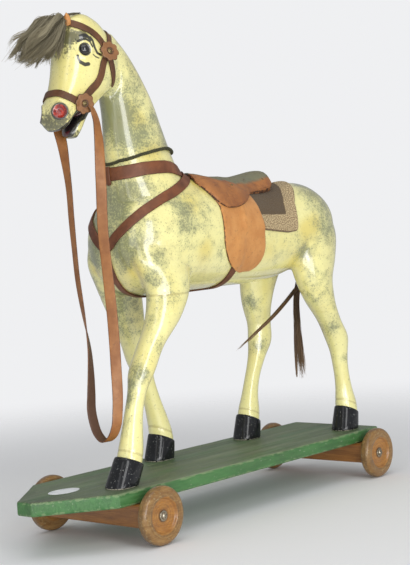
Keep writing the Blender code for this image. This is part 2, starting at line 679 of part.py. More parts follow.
def lay_sheet(name, meshes, places, normals, thickness, material, closed=False, tops=None, reach=0.006):
    # places[i][j] is a grid over the ground; the sheet is dropped on it and lifted until it is clear
    tree = tree_of(meshes)
    low = [[p.copy() for p in row] for row in places]
    rows, columns = len(low), len(low[0])
    for i in range(rows):
        for j in range(columns):
            height = height_over(tree, low[i][j], normals[i][j], reach)
            if height is not None:
                low[i][j] -= normals[i][j] * (height - 1.1 * GAP)
    corners = []
    for i in range(rows if closed else rows - 1):
        k = (i + 1) % rows
        for j in range(columns - 1):
            corners.append(((i, j), (k, j), (k, j + 1)))
            corners.append(((i, j), (k, j + 1), (i, j + 1)))
    shares = [(a / 4, b / 4, 1 - a / 4 - b / 4) for a in range(5) for b in range(5 - a)]
    for _ in range(14):
        lift = np.zeros((rows, columns))
        for triangle in corners:
            for share in shares:
                point, normal = Vector(), Vector()
                for (i, j), weight in zip(triangle, share):
                    point += low[i][j] * weight
                    normal += normals[i][j] * weight
                height = height_over(tree, point, normal.normalized(), reach)
                if height is not None and height < GAP:
                    for (i, j), weight in zip(triangle, share):
                        if weight > 0.1:
                            lift[i, j] = max(lift[i, j], (GAP - height) * 1.05)
        if not lift.any():
            break
        for i in range(rows):
            for j in range(columns):
                low[i][j] += normals[i][j] * lift[i, j]
    mesh = sheet_mesh(name, low, normals, thickness, closed, tops)
    ever = set()
    for _ in range(40):
        crossed = set()
        for face, _ in tree_of([mesh]).overlap(tree):
            crossed.update(index % (rows * columns) for index in mesh.polygons[face].vertices)
        ever |= crossed
        for index in crossed or ever:
            low[index // columns][index % columns] += normals[index // columns][index % columns] * 0.5 * GAP
        mesh = sheet_mesh(name, low, normals, thickness, closed, tops)
        if not crossed:
            break
    return add(name, mesh, material)


def sheet_mesh(name, low, normals, thickness, closed, tops):
    rows, columns = len(low), len(low[0])
    count = rows * columns
    points = [p for row in low for p in row]
    for i in range(rows):
        for j in range(columns):
            top = thickness if tops is None else max(thickness, tops[i][j] - height_base(low[i][j], normals[i][j]))
            points.append(low[i][j] + normals[i][j] * top)
    faces, rim = [], []
    for i in range(rows if closed else rows - 1):
        k = (i + 1) % rows
        for j in range(columns - 1):
            for one, two, three in ((i * columns + j, k * columns + j, k * columns + j + 1),
                                    (i * columns + j, k * columns + j + 1, i * columns + j + 1)):
                faces += [(three, two, one), (count + one, count + two, count + three)]
        rim += [(i * columns, k * columns), (k * columns + columns - 1, i * columns + columns - 1)]
    if not closed:
        for j in range(columns - 1):
            rim += [(j + 1, j), ((rows - 1) * columns + j, (rows - 1) * columns + j + 1)]
    faces += [(a, b, count + b, count + a) for a, b in rim]
    return closed_mesh(name, points, faces)


def height_base(point, normal):
    # Distance of a saddle point from the saddle's axis, along its own normal
    return (point - Vector((point.x, 0, BOARD_TOP + SADDLE_AXIS_HEIGHT))).dot(normal)


def settled_stations(tree, path, spacing):
    # Even stations along a path that is brought onto the skin: place, outward normal, direction
    path = np.array(path, float)
    length = np.linalg.norm(np.diff(path, axis=0), axis=1).sum()
    course = through(path, max(3, int(round(length / spacing)) + 1))
    places, normals = [], []
    for point in course:
        place, normal, _, _ = tree.find_nearest(Vector(point))
        places.append(place)
        normals.append(normal)
    for _ in range(3):
        ends = [normals[0]] + normals + [normals[-1]]
        normals = [(ends[i] + 2 * ends[i + 1] + ends[i + 2]).normalized() for i in range(len(normals))]
    return places, normals


def round_stations(tree, centre, across, start, end, count):
    # Stations round the body in a plane square to a direction; angles are from straight up
    across = Vector(across).normalized()
    up = (UP - across * UP.dot(across)).normalized()
    side = across.cross(up)
    places, normals = [], []
    for angle in np.radians(np.linspace(start, end, count)):
        out = up * math.cos(angle) + side * math.sin(angle)
        hit = tree.ray_cast(Vector(centre) + out * 0.2, -out, 0.4)
        places.append(hit[0])
        normals.append(out)
    return places, normals


def lay_strap(name, meshes, places, normals, width, material, closed=False, tip=None):
    # A flat strap along stations; tip is the share of the width left at the last station
    rows = len(places)
    grid, directions = [], []
    for i, (place, normal) in enumerate(zip(places, normals)):
        before = places[(i - 1) % rows] if closed or i > 0 else places[0]
        after = places[(i + 1) % rows] if closed or i < rows - 1 else places[-1]
        sideways = (after - before).cross(normal).normalized()
        outward = (normal - sideways * normal.dot(sideways)).normalized()
        half = width / 2
        if tip is not None and i >= rows - 2:
            half *= tip if i == rows - 1 else 0.6 + 0.4 * tip
        grid.append([place - sideways * half, place + sideways * half])
        directions.append([outward, outward])
    return lay_sheet(name, meshes, grid, directions, LEATHER, material, closed)


def mirrored(places, normals):
    flip = Vector((1, -1, 1))
    return ([p * 1 for p in places] + [Vector(p * flip) for p in reversed(places)][1:],
            [n * 1 for n in normals] + [Vector(n * flip) for n in reversed(normals)][1:])


def above(x, y, z):
    return (x, y, BOARD_TOP + z)


# Eyes, nostrils and ears

skin = tree_of([form])


def skin_from_side(x, height, side):
    # Where the skin is met coming in from one side
    hit = skin.ray_cast(Vector(above(x, side * 0.2, height)), Vector((0, -side, 0)))
    return hit[0]


def skin_normal(place):
    near, normal, _, _ = skin.find_nearest(place)
    total = Vector()
    for offset in ((0, 0, 0), (0.004, 0, 0), (-0.004, 0, 0), (0, 0, 0.004), (0, 0, -0.004), (0, 0.004, 0), (0, -0.004, 0)):
        total += skin.find_nearest(near + Vector(offset))[1]
    return total.normalized()


HANDS = (("left", -1), ("right", 1))
for hand, side in HANDS:
    place = skin_from_side(EYE_X, EYE_HEIGHT, side)
    inward = place - skin_normal(place) * (EYE_DIAMETER / 2 - EYE_STANDS_OUT)
    sphere("glass_eye_" + hand, EYE_DIAMETER / 2, inward, eye_glass)
    cut(head_and_neck, sphere("eye_socket_" + hand, EYE_DIAMETER / 2 + 2 * GAP, inward, None, guide=True))
    place = skin_from_side(NOSTRIL_X, NOSTRIL_HEIGHT, side)
    half = NOSTRIL_DIAMETER / 2
    bowl = (half * half + NOSTRIL_DEPTH * NOSTRIL_DEPTH) / (2 * NOSTRIL_DEPTH)
    centre = place + skin_normal(place) * (bowl - NOSTRIL_DEPTH)
    cut(head_and_neck, sphere("nostril_" + hand, bowl, centre, None, guide=True))


def seated(mesh, direction, ground):
    # The mesh moved along a direction until it all but touches the ground
    direction = direction.normalized()
    tree, own = tree_of(ground), tree_of([mesh])
    free = [tree.ray_cast(v.co, direction, 0.02)[3] for v in mesh.vertices]
    free += [own.ray_cast(v.co, -direction, 0.02)[3] for piece in ground for v in piece.vertices]
    move = min([f for f in free if f is not None], default=0) - 1.5 * GAP
    mesh.transform(Matrix.Translation(direction * max(0.0, move)))
    while tree_of([mesh]).overlap(tree):
        mesh.transform(Matrix.Translation(-direction * GAP))
    return mesh


def make_ear(hand, side):
    # A small pointed leaf of leather, bent across its width, standing before the browband
    root = max((skin.ray_cast(Vector(above(POLL_X - 0.039 + dx, side * 0.0130 + dy, 0.7)), DOWN)[0]
                for dx in (-0.003, 0, 0.003) for dy in (-0.004, 0, 0.004)), key=lambda p: p.z)
    root = Vector((POLL_X - 0.039, side * 0.0130, root.z))
    lean = Vector((-0.35, side * 0.22, 1)).normalized()
    across = Vector((-0.45, side * -0.9, -0.1)).normalized()
    out = across.cross(lean).normalized()
    low, rows, columns = [], 5, 5
    for i in range(rows):
        share = i / (rows - 1)
        half = EAR_WIDTH / 2 * (0.62 + 0.9 * share - 1.42 * share ** 2.4)
        for j in range(columns):
            s = 2 * j / (columns - 1) - 1
            low.append(root + lean * (0.0030 + EAR_LENGTH * share) + across * s * half + out * 0.0024 * s * s)
    points = low + [p + out * 0.0012 for p in low]
    count = rows * columns
    faces = []
    for i in range(rows - 1):
        for j in range(columns - 1):
            a, b = i * columns + j, (i + 1) * columns + j
            faces += [(a, a + 1, b + 1, b), (count + a, count + b, count + b + 1, count + a + 1)]
    rim = [(j, j + 1) for j in range(columns - 1)]
    rim += [((rows - 1) * columns + j, (rows - 1) * columns + j + 1) for j in range(columns - 1)]
    rim += [(i * columns + e, (i + 1) * columns + e) for i in range(rows - 1) for e in (0, columns - 1)]
    faces += [(a, b, count + b, count + a) for a, b in rim]
    return add("ear_" + hand, seated(closed_mesh("ear", points, faces), -lean, [form]), tan_leather)


ears = [make_ear(hand, side) for hand, side in HANDS]


# Bridle: straps first, then the rosettes over their ends

# Places on the head are given behind and below the poll
TEMPLE = (POLL_X + 0.0085, POLL_HEIGHT - 0.0465)
BIT = (POLL_X - 0.0325, POLL_HEIGHT - 0.1080)
bridle = [form]


def side_path(points, side):
    return [Vector(above(x, side * y, z)) for x, y, z in points]


def head_place(x, y, drop):
    return above(POLL_X + x, y, POLL_HEIGHT - drop)


def head_path(points, side):
    return [Vector(head_place(x, side * y, drop)) for x, y, drop in points]


def add_strap(name, path, width, material=brown_leather, both=False, tip=None, spacing=0.005, ground=bridle):
    places, normals = settled_stations(skin, path, spacing)
    if both:
        places, normals = mirrored(places, normals)
    made = lay_strap(name, ground, places, normals, width, material, tip=tip)
    ground.append(world_mesh(made))
    return made


def world_mesh(made):
    mesh = made.data.copy()
    mesh.transform(made.matrix_world)
    return mesh


for hand, side in HANDS:
    add_strap("cheek_strap_" + hand, head_path([(0.0045, 0.030, 0.0535), (-0.0035, 0.030, 0.0700),
              (-0.0140, 0.029, 0.0845), (-0.0250, 0.027, 0.0990)], side), BRIDLE_WIDTH)
    add_strap("throat_end_" + hand, head_path([(0.0120, 0.030, 0.0540), (0.0170, 0.029, 0.0690), (0.0220, 0.024, 0.0880)],
              side), BRIDLE_WIDTH, tip=0.25)
add_strap("browband", head_path([(0.0045, 0.029, 0.0390), (-0.0010, 0.028, 0.0290), (-0.0085, 0.026, 0.0205),
          (-0.0210, 0.022, 0.0140), (-0.0295, 0.014, 0.0085), (-0.0330, 0.000, 0.0060)], -1), BRIDLE_WIDTH, both=True)
add_strap("crown_strap", head_path([(0.0130, 0.029, 0.0395), (0.0170, 0.024, 0.0290), (0.0250, 0.015, 0.0190),
          (0.0300, 0.000, 0.0130)], -1), BRIDLE_WIDTH, both=True)
add_strap("noseband", head_path([(-0.0405, 0.024, 0.1075), (-0.0520, 0.018, 0.1012), (-0.0570, 0.008, 0.0970),
          (-0.0590, 0.000, 0.0965)], -1), BRIDLE_WIDTH, both=True)


def make_rosette(name, x, height, side):
    # Scalloped leather disc with a domed rivet, seated on whatever lies under it
    place = skin_from_side(x, height, side)
    normal = skin_normal(place)
    tree = tree_of(bridle)
    reach = ROSETTE_DIAMETER / 2
    turn = UP.rotation_difference(normal)
    highest = 0
    for ring in range(6):
        for step in range(24):
            angle = math.radians(15 * step)
            spot = place + turn @ Vector((math.cos(angle), math.sin(angle), 0)) * reach * ring / 5
            hit = tree.ray_cast(spot + normal * 0.02, -normal)
            if hit[0] is not None:
                highest = max(highest, (hit[0] - place).dot(normal))
    base = place + normal * (highest + GAP)
    mesh = rosette_mesh(name, base, turn)
    while tree_of([mesh]).overlap(tree):
        base += normal * 0.5 * GAP
        mesh = rosette_mesh(name, base, turn)
    mesh = rosette_mesh(name, base + normal * 0.5 * GAP, turn)
    bridle.append(add(name, mesh, tan_leather).data.copy())


def rosette_mesh(name, base, turn):
    reach = ROSETTE_DIAMETER / 2
    steps = 3 * ROSETTE_LOBES
    rings = []
    rivet = RIVET_DIAMETER / (2 * reach)
    profile = [(1, 0, 1), (1, 0.7, 1), (0.92, 1, 1), (rivet, 0.92, 0), (0.92 * rivet, 1.35, 0), (0.5 * rivet, 1.62, 0)]
    for size, rise, lobed in profile:
        ring = []
        for step in range(steps):
            angle = 2 * math.pi * step / steps
            wave = 1 - lobed * 0.055 * (1 - math.cos(ROSETTE_LOBES * angle))
            flat = Vector((math.cos(angle), math.sin(angle), 0)) * reach * size * wave
            ring.append(base + turn @ (flat + UP * rise * ROSETTE_THICKNESS))
        rings.append(ring)
    return loft(name, rings)


for hand, side in HANDS:
    make_rosette("rosette_temple_" + hand, *TEMPLE, side)
    make_rosette("rosette_bit_" + hand, *BIT, side)


# Body straps

body = [form]


def make_collar():
    # Level round the neck, rising a little where it crosses the crest
    places, normals = [], []
    for step in range(COLLAR_STEPS):
        angle = 2 * math.pi * step / COLLAR_STEPS
        out = Vector((math.cos(angle), math.sin(angle), 0))
        height = NECK_SEAM_HEIGHT - 0.002 + 0.009 * max(0.0, math.cos(angle)) ** 3
        place = skin.ray_cast(Vector(above(-0.092, 0, height)) + out * 0.2, -out)[0]
        places.append(place)
        normals.append(skin_normal(place))
    for _ in range(3):
        normals = [(normals[i - 1] + 2 * normals[i] + normals[(i + 1) % COLLAR_STEPS]).normalized()
                   for i in range(COLLAR_STEPS)]
    body.append(world_mesh(lay_strap("collar_strap", body, places, normals, COLLAR_WIDTH, brown_leather, closed=True)))


make_collar()


def make_neck_cord():
    tree = tree_of(body)
    places, normals = round_stations(tree, above(-0.095, 0, NECK_SEAM_HEIGHT + 0.0175), (-0.250, 0, 1), 0, 360, CORD_STEPS + 1)
    rings = []
    radius = CORD_DIAMETER / 2
    for i in range(CORD_STEPS):
        along = (places[(i + 1) % CORD_STEPS] - places[i - 1]).normalized()
        out = (normals[i] - along * normals[i].dot(along)).normalized()
        rings.append([places[i] + out * (1.6 * radius + 2 * GAP), along.cross(out), out])
    for _ in range(8):
        for i in range(CORD_STEPS):
            middle = (rings[i][0] + rings[(i + 1) % CORD_STEPS][0]) / 2
            near = tree.find_nearest(middle)
            short = radius + GAP - (middle - near[0]).dot(near[1])
            if short > 0:
                rings[i][0] += rings[i][2] * short
                rings[(i + 1) % CORD_STEPS][0] += rings[(i + 1) % CORD_STEPS][2] * short
    loops = [oval(centre, across, out, radius, radius, 5) for centre, across, out in rings]
    return add("neck_cord", loft("neck_cord", loops, closed=True), dark_cord)


make_neck_cord()

# The breast strap's path: x, y and how far it lies below the withers
breast_path = [(-0.0010, 0.0160, 0.0020), (-0.0140, 0.0195, 0.0030), (-0.0400, 0.0370, 0.0100), (-0.0680, 0.0476, 0.0192),
               (-0.0984, 0.0490, 0.0353), (-0.1235, 0.0454, 0.0506), (-0.1388, 0.0333, 0.0654), (-0.1465, 0.0226, 0.0756),
               (-0.1489, 0.0110, 0.0855), (-0.1495, 0.0000, 0.0900)]
places, normals = settled_stations(skin, side_path([(x, y, WITHERS_HEIGHT - drop) for x, y, drop in breast_path], -1),
                                   0.0085)
places, normals = mirrored(places, normals)
body.append(world_mesh(lay_strap("breast_strap", body, places, normals, BREAST_WIDTH, brown_leather)))
places, normals = round_stations(skin, above(GIRTH_X, 0, 0.290), (1, 0, 0), 92, 268, 23)
body.append(world_mesh(lay_strap("girth", body, places, normals, GIRTH_WIDTH, brown_leather)))
places, normals = settled_stations(skin, side_path([(-0.1490, 0, 0.2765), (-0.1410, 0, 0.2600), (-0.1340, 0, 0.2450),
                                   (-0.1230, 0, 0.2330), (-0.1100, 0, 0.2260), (-0.0800, 0, 0.2220), (-0.0300, 0, 0.2220),
                                   (GIRTH_X - GIRTH_WIDTH / 2 - 0.0012, 0, 0.2230)], -1), 0.011)
body.append(world_mesh(lay_strap("martingale", body, places, normals, MARTINGALE_WIDTH, brown_leather)))


# Saddle: places are read as rays out of an axis inside the trunk

SADDLE_AXIS_HEIGHT = 0.290


def trunk_place(x, angle):
    out = Vector((0, math.sin(angle), math.cos(angle)))
    hit = skin.ray_cast(Vector(above(x, 0, SADDLE_AXIS_HEIGHT)) + out * 0.2, -out)
    return hit[0], out


def trunk_grid(rows):
    # rows of (x, angle) pairs
    grid, normals = [], []
    for row in rows:
        pairs = [trunk_place(x, math.radians(angle)) for x, angle in row]
        grid.append([p for p, _ in pairs])
        normals.append([n for _, n in pairs])
    return grid, normals


def smooth_at(x, xs, values):
    # Rounded reading between given values
    rows = through([(a, 0, 0, b) for a, b in zip(xs, values)], 120)
    return float(np.interp(x, rows[:, 0], rows[:, 3]))


CLOTH_ANGLES = [0, 23, 46, 66, 86]
CLOTH_REAR = [CLOTH_REAR_X, CLOTH_REAR_X - 0.002, CLOTH_REAR_X - 0.028, CLOTH_REAR_X - 0.044, CLOTH_REAR_X - 0.053]
cloth_rows = []
for angle in np.linspace(-CLOTH_ANGLES[-1], CLOTH_ANGLES[-1], 15):
    rear = np.interp(abs(angle), CLOTH_ANGLES, CLOTH_REAR)
    cloth_rows.append([(x, angle) for x in np.linspace(CLOTH_FRONT_X, rear, 7)])
cloth = lay_sheet("saddle_cloth", body, *trunk_grid(cloth_rows), CLOTH_THICKNESS, tweed)
body.append(world_mesh(cloth))

FLAP_ANGLES = [22, 35, 47, 56, 67, 84, 96, 108, 118, 125, 131]
FLAP_FRONT = [0.000, -0.013, -0.0125, -0.008, -0.005, -0.003, 0.001, 0.0055, 0.0150, 0.028, 0.044]
FLAP_REAR = [0.072, 0.078, 0.080, 0.080, 0.079, 0.079, 0.080, 0.079, 0.076, 0.070, 0.060]
for hand, side in HANDS:
    rows = []
    for angle in (22, 32, 42, 53, 64, 76, 88, 100, 109, 117, 124.5, 131):
        front, rear = np.interp(angle, FLAP_ANGLES, FLAP_FRONT), np.interp(angle, FLAP_ANGLES, FLAP_REAR)
        rows.append([(front + (rear - front) * s, side * angle) for s in (0, 0.25, 0.5, 0.75, 1)])
    flap = lay_sheet("saddle_flap_" + hand, body, *trunk_grid(rows), FLAP_THICKNESS, suede)
    body.append(world_mesh(flap))


def make_seat():
    # A skirt whose corners reach forward, with the padded seat rising behind
    start, size = SADDLE_FRONT_X, SADDLE_LENGTH
    stations = [(0.000, 33), (0.030, 40), (0.080, 46), (0.140, 51), (0.215, 54.5), (0.300, 54), (0.390, 50),
                (0.490, 45), (0.600, 40), (0.720, 35), (0.840, 30), (0.940, 23), (1.000, 13)]
    dip = WITHERS_HEIGHT + 0.001
    crown_x = [start + size * s for s in (0, 0.06, 0.25, 0.47, 0.75, 0.92, 1.0)]
    crown = [dip + 0.1 * POMMEL_HEIGHT, dip + 0.5 * POMMEL_HEIGHT, dip, dip - 0.2 * SADDLE_DIP, dip + 0.05 * SADDLE_DIP,
             dip + 0.45 * SADDLE_DIP, dip + 0.10 * SADDLE_DIP]
    rows, tops = [], []
    for share, wide in stations:
        x = start + size * share
        middle = smooth_at(x, crown_x, crown) - SADDLE_AXIS_HEIGHT
        back = trunk_place(x, 0)[0].z - BOARD_TOP - SADDLE_AXIS_HEIGHT
        edge = np.interp(share, [0, 0.35, 0.75, 1], [SKIRT_THICKNESS, SKIRT_THICKNESS, 0.32 * CANTLE_HEIGHT,
                                                     0.40 * CANTLE_HEIGHT])
        row, top = [], []
        for s in (-1, -0.82, -0.6, -0.3, 0, 0.3, 0.6, 0.82, 1):
            angle = wide * s
            forward = SKIRT_FORWARD * max(0.0, 1 - share / 0.38) * min(1.0, abs(angle) / 30) ** 1.5
            row.append((x - forward, angle))
            place, out = trunk_place(x - forward, math.radians(angle))
            pad = max(0.0, middle - back - edge) * (1 - abs(s) ** 2.6) ** 1.2
            over_cloth = (CLOTH_THICKNESS + 2 * GAP) * (x > CLOTH_FRONT_X)
            top.append(height_base(place, out) + edge + pad + over_cloth)
        rows.append(row)
        tops.append(top)
    return lay_sheet("saddle_seat", body, *trunk_grid(rows), SKIRT_THICKNESS, seat_leather, tops=tops)


body.append(world_mesh(make_seat()))


# Reins: one strap from bit to bit, hanging in a loop with half a twist

REINS = [(-0.0235, -0.0300, 0.1085), (-0.0185, -0.0330, 0.1095), (-0.0155, -0.0345, 0.1160), (-0.0155, -0.0345, 0.1300),
         (-0.0170, -0.0350, 0.1440), (-0.0210, -0.0340, 0.1990), (-0.0230, -0.0340, 0.2670), (-0.0250, -0.0390, 0.3150),
         (-0.0270, -0.0440, 0.3685), (-0.0300, -0.0475, 0.4190), (-0.0340, -0.0490, 0.4770), (-0.0360, -0.0475, 0.4940),
         (-0.0370, -0.0395, 0.5080), (-0.0370, -0.0280, 0.5135), (-0.0360, -0.0160, 0.5065), (-0.0350, -0.0080, 0.4915),
         (-0.0350, -0.0055, 0.4770), (-0.0350, -0.0070, 0.4580), (-0.0350, -0.0088, 0.4330), (-0.0350, -0.0090, 0.4030),
         (-0.0350, -0.0040, 0.3680), (-0.0350, -0.0005, 0.3460), (-0.0350, 0.0033, 0.3170), (-0.0350, 0.0052, 0.2830),
         (-0.0350, 0.0068, 0.2440), (-0.0350, 0.0075, 0.2080), (-0.0350, 0.0105, 0.1780), (-0.0340, 0.0160, 0.1500),
         (-0.0320, 0.0230, 0.1340), (-0.0290, 0.0290, 0.1240)]


def make_reins():
    course = through([head_place(*p) for p in REINS], 64)[:, :3]
    rings = []
    along_all = np.gradient(course, axis=0)
    for i, (point, step) in enumerate(zip(course, along_all)):
        along = Vector(step).normalized()
        share = i / (len(course) - 1)
        # The strap lies flat to the head at both ends and turns over on its way up the far strand
        turn = math.radians(np.interp(share, [0, 0.05, 0.12, 0.38, 0.50, 0.57, 0.64, 0.71, 0.82, 0.94, 1.0],
                                      [0, -25, -45, -42, -12, -6, 24, 62, 74, 100, 165]))
        flat = Vector((1, 0, 0)) * math.cos(turn) + Vector((0, 1, 0)) * math.sin(turn)
        wide = (flat - along * flat.dot(along)).normalized()
        thick = along.cross(wide)
        a, b = wide * REIN_WIDTH / 2, thick * LEATHER / 2
        centre = Vector(point)
        rings.append([centre - a - b, centre + a - b, centre + a + b, centre - a + b])
    return add("reins", loft("reins", rings), tan_leather)


make_reins()


# Hair

def clear_of(tree, point, distance):
    near, normal, _, _ = tree.find_nearest(point)
    gap = (point - near).dot(normal)
    return point if gap >= distance else point + normal * (distance - gap)


def make_tuft(name, locks, meshes, seat, material, triangles, set_out=above, voxel=0.0018):
    # Each lock is a list of rows of place and radius, swept as a tapering tube clear of the ground
    tree = tree_of(meshes)
    tubes = []
    for lock in locks:
        rows = through([(*set_out(x, y, z), radius) for x, y, z, radius in lock], 6 + 3 * len(lock))
        centres = [clear_of(tree, Vector(row[:3]), row[3] + 0.0022) for row in rows]
        rings = []
        for i, row in enumerate(rows):
            along = (centres[min(i + 1, len(rows) - 1)] - centres[max(i - 1, 0)]).normalized()
            across = along.cross(Vector((0.3, 1, 0.2))).normalized()
            rings.append(oval(centres[i], across, along.cross(across), row[3], row[3], 8))
        tubes.append(loft(name, rings))
    return add(name, seated(grown_together(name, tubes, voxel, 1, triangles), Vector(seat), meshes), material)


make_tuft("tail", [
    [(0.294, 0.000, 0.330, 0.0050), (0.296, 0.004, 0.300, 0.0052), (0.290, 0.014, 0.262, 0.0050),
     (0.278, 0.024, 0.232, 0.0048), (0.271, 0.029, 0.203, 0.0046), (0.269, 0.031, 0.149, 0.0044),
     (0.270, 0.031, 0.112, 0.0040), (0.271, 0.031, 0.083, 0.0026)],
    [(0.294, 0.000, 0.330, 0.0048), (0.295, 0.002, 0.295, 0.0046), (0.284, 0.008, 0.252, 0.0042),
     (0.262, 0.009, 0.222, 0.0038), (0.230, 0.006, 0.203, 0.0034), (0.180, 0.002, 0.176, 0.0030),
     (0.130, 0.000, 0.153, 0.0026), (0.092, 0.000, 0.134, 0.0018)],
    [(0.270, 0.028, 0.180, 0.0040), (0.274, 0.026, 0.130, 0.0036), (0.277, 0.025, 0.093, 0.0020)]],
    [form], (-1, 0, 0), horsehair, 480)

make_tuft("forelock", [
    [(-0.0480, 0.000, 0.0070, 0.0030), (-0.0540, -0.004, 0.0090, 0.0065), (-0.0670, -0.002, 0.0200, 0.0105),
     (-0.0830, 0.004, 0.0360, 0.0100), (-0.1010, 0.010, 0.0510, 0.0065), (-0.1240, 0.016, 0.0630, 0.0022)],
    [(-0.0480, 0.001, 0.0070, 0.0030), (-0.0550, 0.008, 0.0090, 0.0070), (-0.0710, 0.018, 0.0220, 0.0098),
     (-0.0920, 0.026, 0.0360, 0.0078), (-0.1150, 0.030, 0.0490, 0.0028)],
    [(-0.0480, -0.001, 0.0075, 0.0030), (-0.0520, -0.010, 0.0150, 0.0065), (-0.0570, -0.014, 0.0280, 0.0080),
     (-0.0620, -0.011, 0.0430, 0.0065), (-0.0660, -0.006, 0.0580, 0.0030)]],
    bridle + [world_mesh(e) for e in ears], (1, 0, -0.3), grey_hair, 500, head_place)
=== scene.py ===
# Toy horse on wheels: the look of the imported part, in metres, horse facing -X and its left side at -Y.

import math

import bmesh
import bpy
import numpy as np
from mathutils import Matrix, Vector
from mathutils.bvhtree import BVHTree


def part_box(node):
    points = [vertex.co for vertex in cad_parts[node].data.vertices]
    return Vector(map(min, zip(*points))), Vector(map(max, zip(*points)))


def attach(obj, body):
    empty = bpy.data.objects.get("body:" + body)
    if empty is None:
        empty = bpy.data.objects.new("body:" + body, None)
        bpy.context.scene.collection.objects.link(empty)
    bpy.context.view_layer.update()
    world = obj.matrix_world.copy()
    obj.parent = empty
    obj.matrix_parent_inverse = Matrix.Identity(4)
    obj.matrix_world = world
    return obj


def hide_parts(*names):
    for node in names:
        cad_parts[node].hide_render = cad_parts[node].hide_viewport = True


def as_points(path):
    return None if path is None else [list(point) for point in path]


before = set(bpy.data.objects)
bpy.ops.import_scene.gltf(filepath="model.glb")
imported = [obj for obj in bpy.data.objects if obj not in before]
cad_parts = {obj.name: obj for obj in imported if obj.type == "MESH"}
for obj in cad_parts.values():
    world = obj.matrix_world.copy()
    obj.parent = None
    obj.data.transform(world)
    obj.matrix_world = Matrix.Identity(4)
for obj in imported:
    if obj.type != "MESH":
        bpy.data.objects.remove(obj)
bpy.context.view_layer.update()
alongX, acrossY, up = Vector((1, 0, 0)), Vector((0, 1, 0)), Vector((0, 0, 1))
hands = (("left", -1), ("right", 1))
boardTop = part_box("platform_board")[1].z


# Node tools: a signal is a node's output with which sums and products can be written

class Signal:
    def __init__(self, socket):
        self.socket = socket
        self.tree = socket.id_data

    def __add__(self, other):
        return calc("ADD", self, other)

    def __sub__(self, other):
        return calc("SUBTRACT", self, other)

    def __rsub__(self, other):
        return calc("SUBTRACT", other, self)

    def __mul__(self, other):
        return calc("MULTIPLY", self, other)


def feed(made, inputs):
    for key, value in inputs.items():
        if isinstance(value, Signal):
            value = value.socket
        if isinstance(value, bpy.types.NodeSocket):
            made.id_data.links.new(value, made.inputs[key])
        else:
            made.inputs[key].default_value = value
    return made


def addNode(tree, kind, inputs=None, **settings):
    made = tree.nodes.new(kind)
    for key, value in settings.items():
        setattr(made, key, value)
    return feed(made, inputs or {})


def result(tree, kind, inputs=None, output=0, **settings):
    return Signal(addNode(tree, kind, inputs, **settings).outputs[output])


def calc(operation, first, second=0.0, clamp=False):
    tree = (first if isinstance(first, Signal) else second).tree
    return result(tree, "ShaderNodeMath", {0: first, 1: second}, operation=operation, use_clamp=clamp)


def placed(name, data):
    made = bpy.data.objects.new(name, data)
    bpy.context.scene.collection.objects.link(made)
    return made


def meshFrom(name, bm):
    mesh = bpy.data.meshes.new(name)
    bm.to_mesh(mesh)
    bm.free()
    return mesh


# Camera, floor and light; each lamp has its power, size, place and target

studio = {
    "place": (-1.2539, -1.1259, 0.3422), "yaw": 48.78, "pitch": -1.45, "roll": -3.77, "lens": 81.0,
    "floorRadius": 1.6, "floorColour": (0.9, 0.9, 0.91), "fadeFrom": 0.42, "fadeTo": 1.52,
    "backdrop": (0.865, 0.87, 0.885), "ambientColour": (0.96, 0.98, 1.0), "ambient": 0.43,
    "lamps": {"strip": (4.8, (0.75, 1.9), (-2.2, -0.75, 0.95), (0, 0, 0.35)),
        "window": (21.0, (0.75, 1.8), (-1.0, -2.2, 1.0), (0, 0, 0.3)),
        "bounce": (14.0, (2.2, 0.5), (-0.9, -1.5, 0.1), (0.05, 0, 0.28)),
        "top": (9.0, (1.8, 1.8), (-0.5, -0.3, 2.1), (0, 0, 0.3)),
        "fill": (0.5, (1.4, 1.4), (1.3, -1.6, 1.0), (0, 0, 0.3))}
}


def makeCamera():
    yaw, pitch, roll = (math.radians(studio[k]) for k in ("yaw", "pitch", "roll"))
    ahead = Vector((math.sin(yaw) * math.cos(pitch), math.cos(yaw) * math.cos(pitch), math.sin(pitch)))
    right = Vector((math.cos(yaw), -math.sin(yaw), 0))
    above = right.cross(ahead)
    turnedRight = right * math.cos(roll) + above * math.sin(roll)
    turnedUp = above * math.cos(roll) - right * math.sin(roll)
    camera = placed("camera", bpy.data.cameras.new("camera"))
    camera.data.sensor_fit = "VERTICAL"
    camera.data.sensor_height = 36
    camera.data.lens = studio["lens"]
    turn = Matrix((turnedRight, turnedUp, -ahead)).transposed().to_4x4()
    camera.matrix_world = Matrix.Translation(Vector(studio["place"])) @ turn
    bpy.context.scene.camera = camera


def makeLight(name, power, size, place, target):
    lamp = bpy.data.lights.new(name, "AREA")
    lamp.shape = "RECTANGLE"
    lamp.size, lamp.size_y = size
    lamp.energy = power
    made = placed(name, lamp)
    made.location = place
    made.rotation_euler = (Vector(target) - Vector(place)).to_track_quat("-Z", "Y").to_euler()


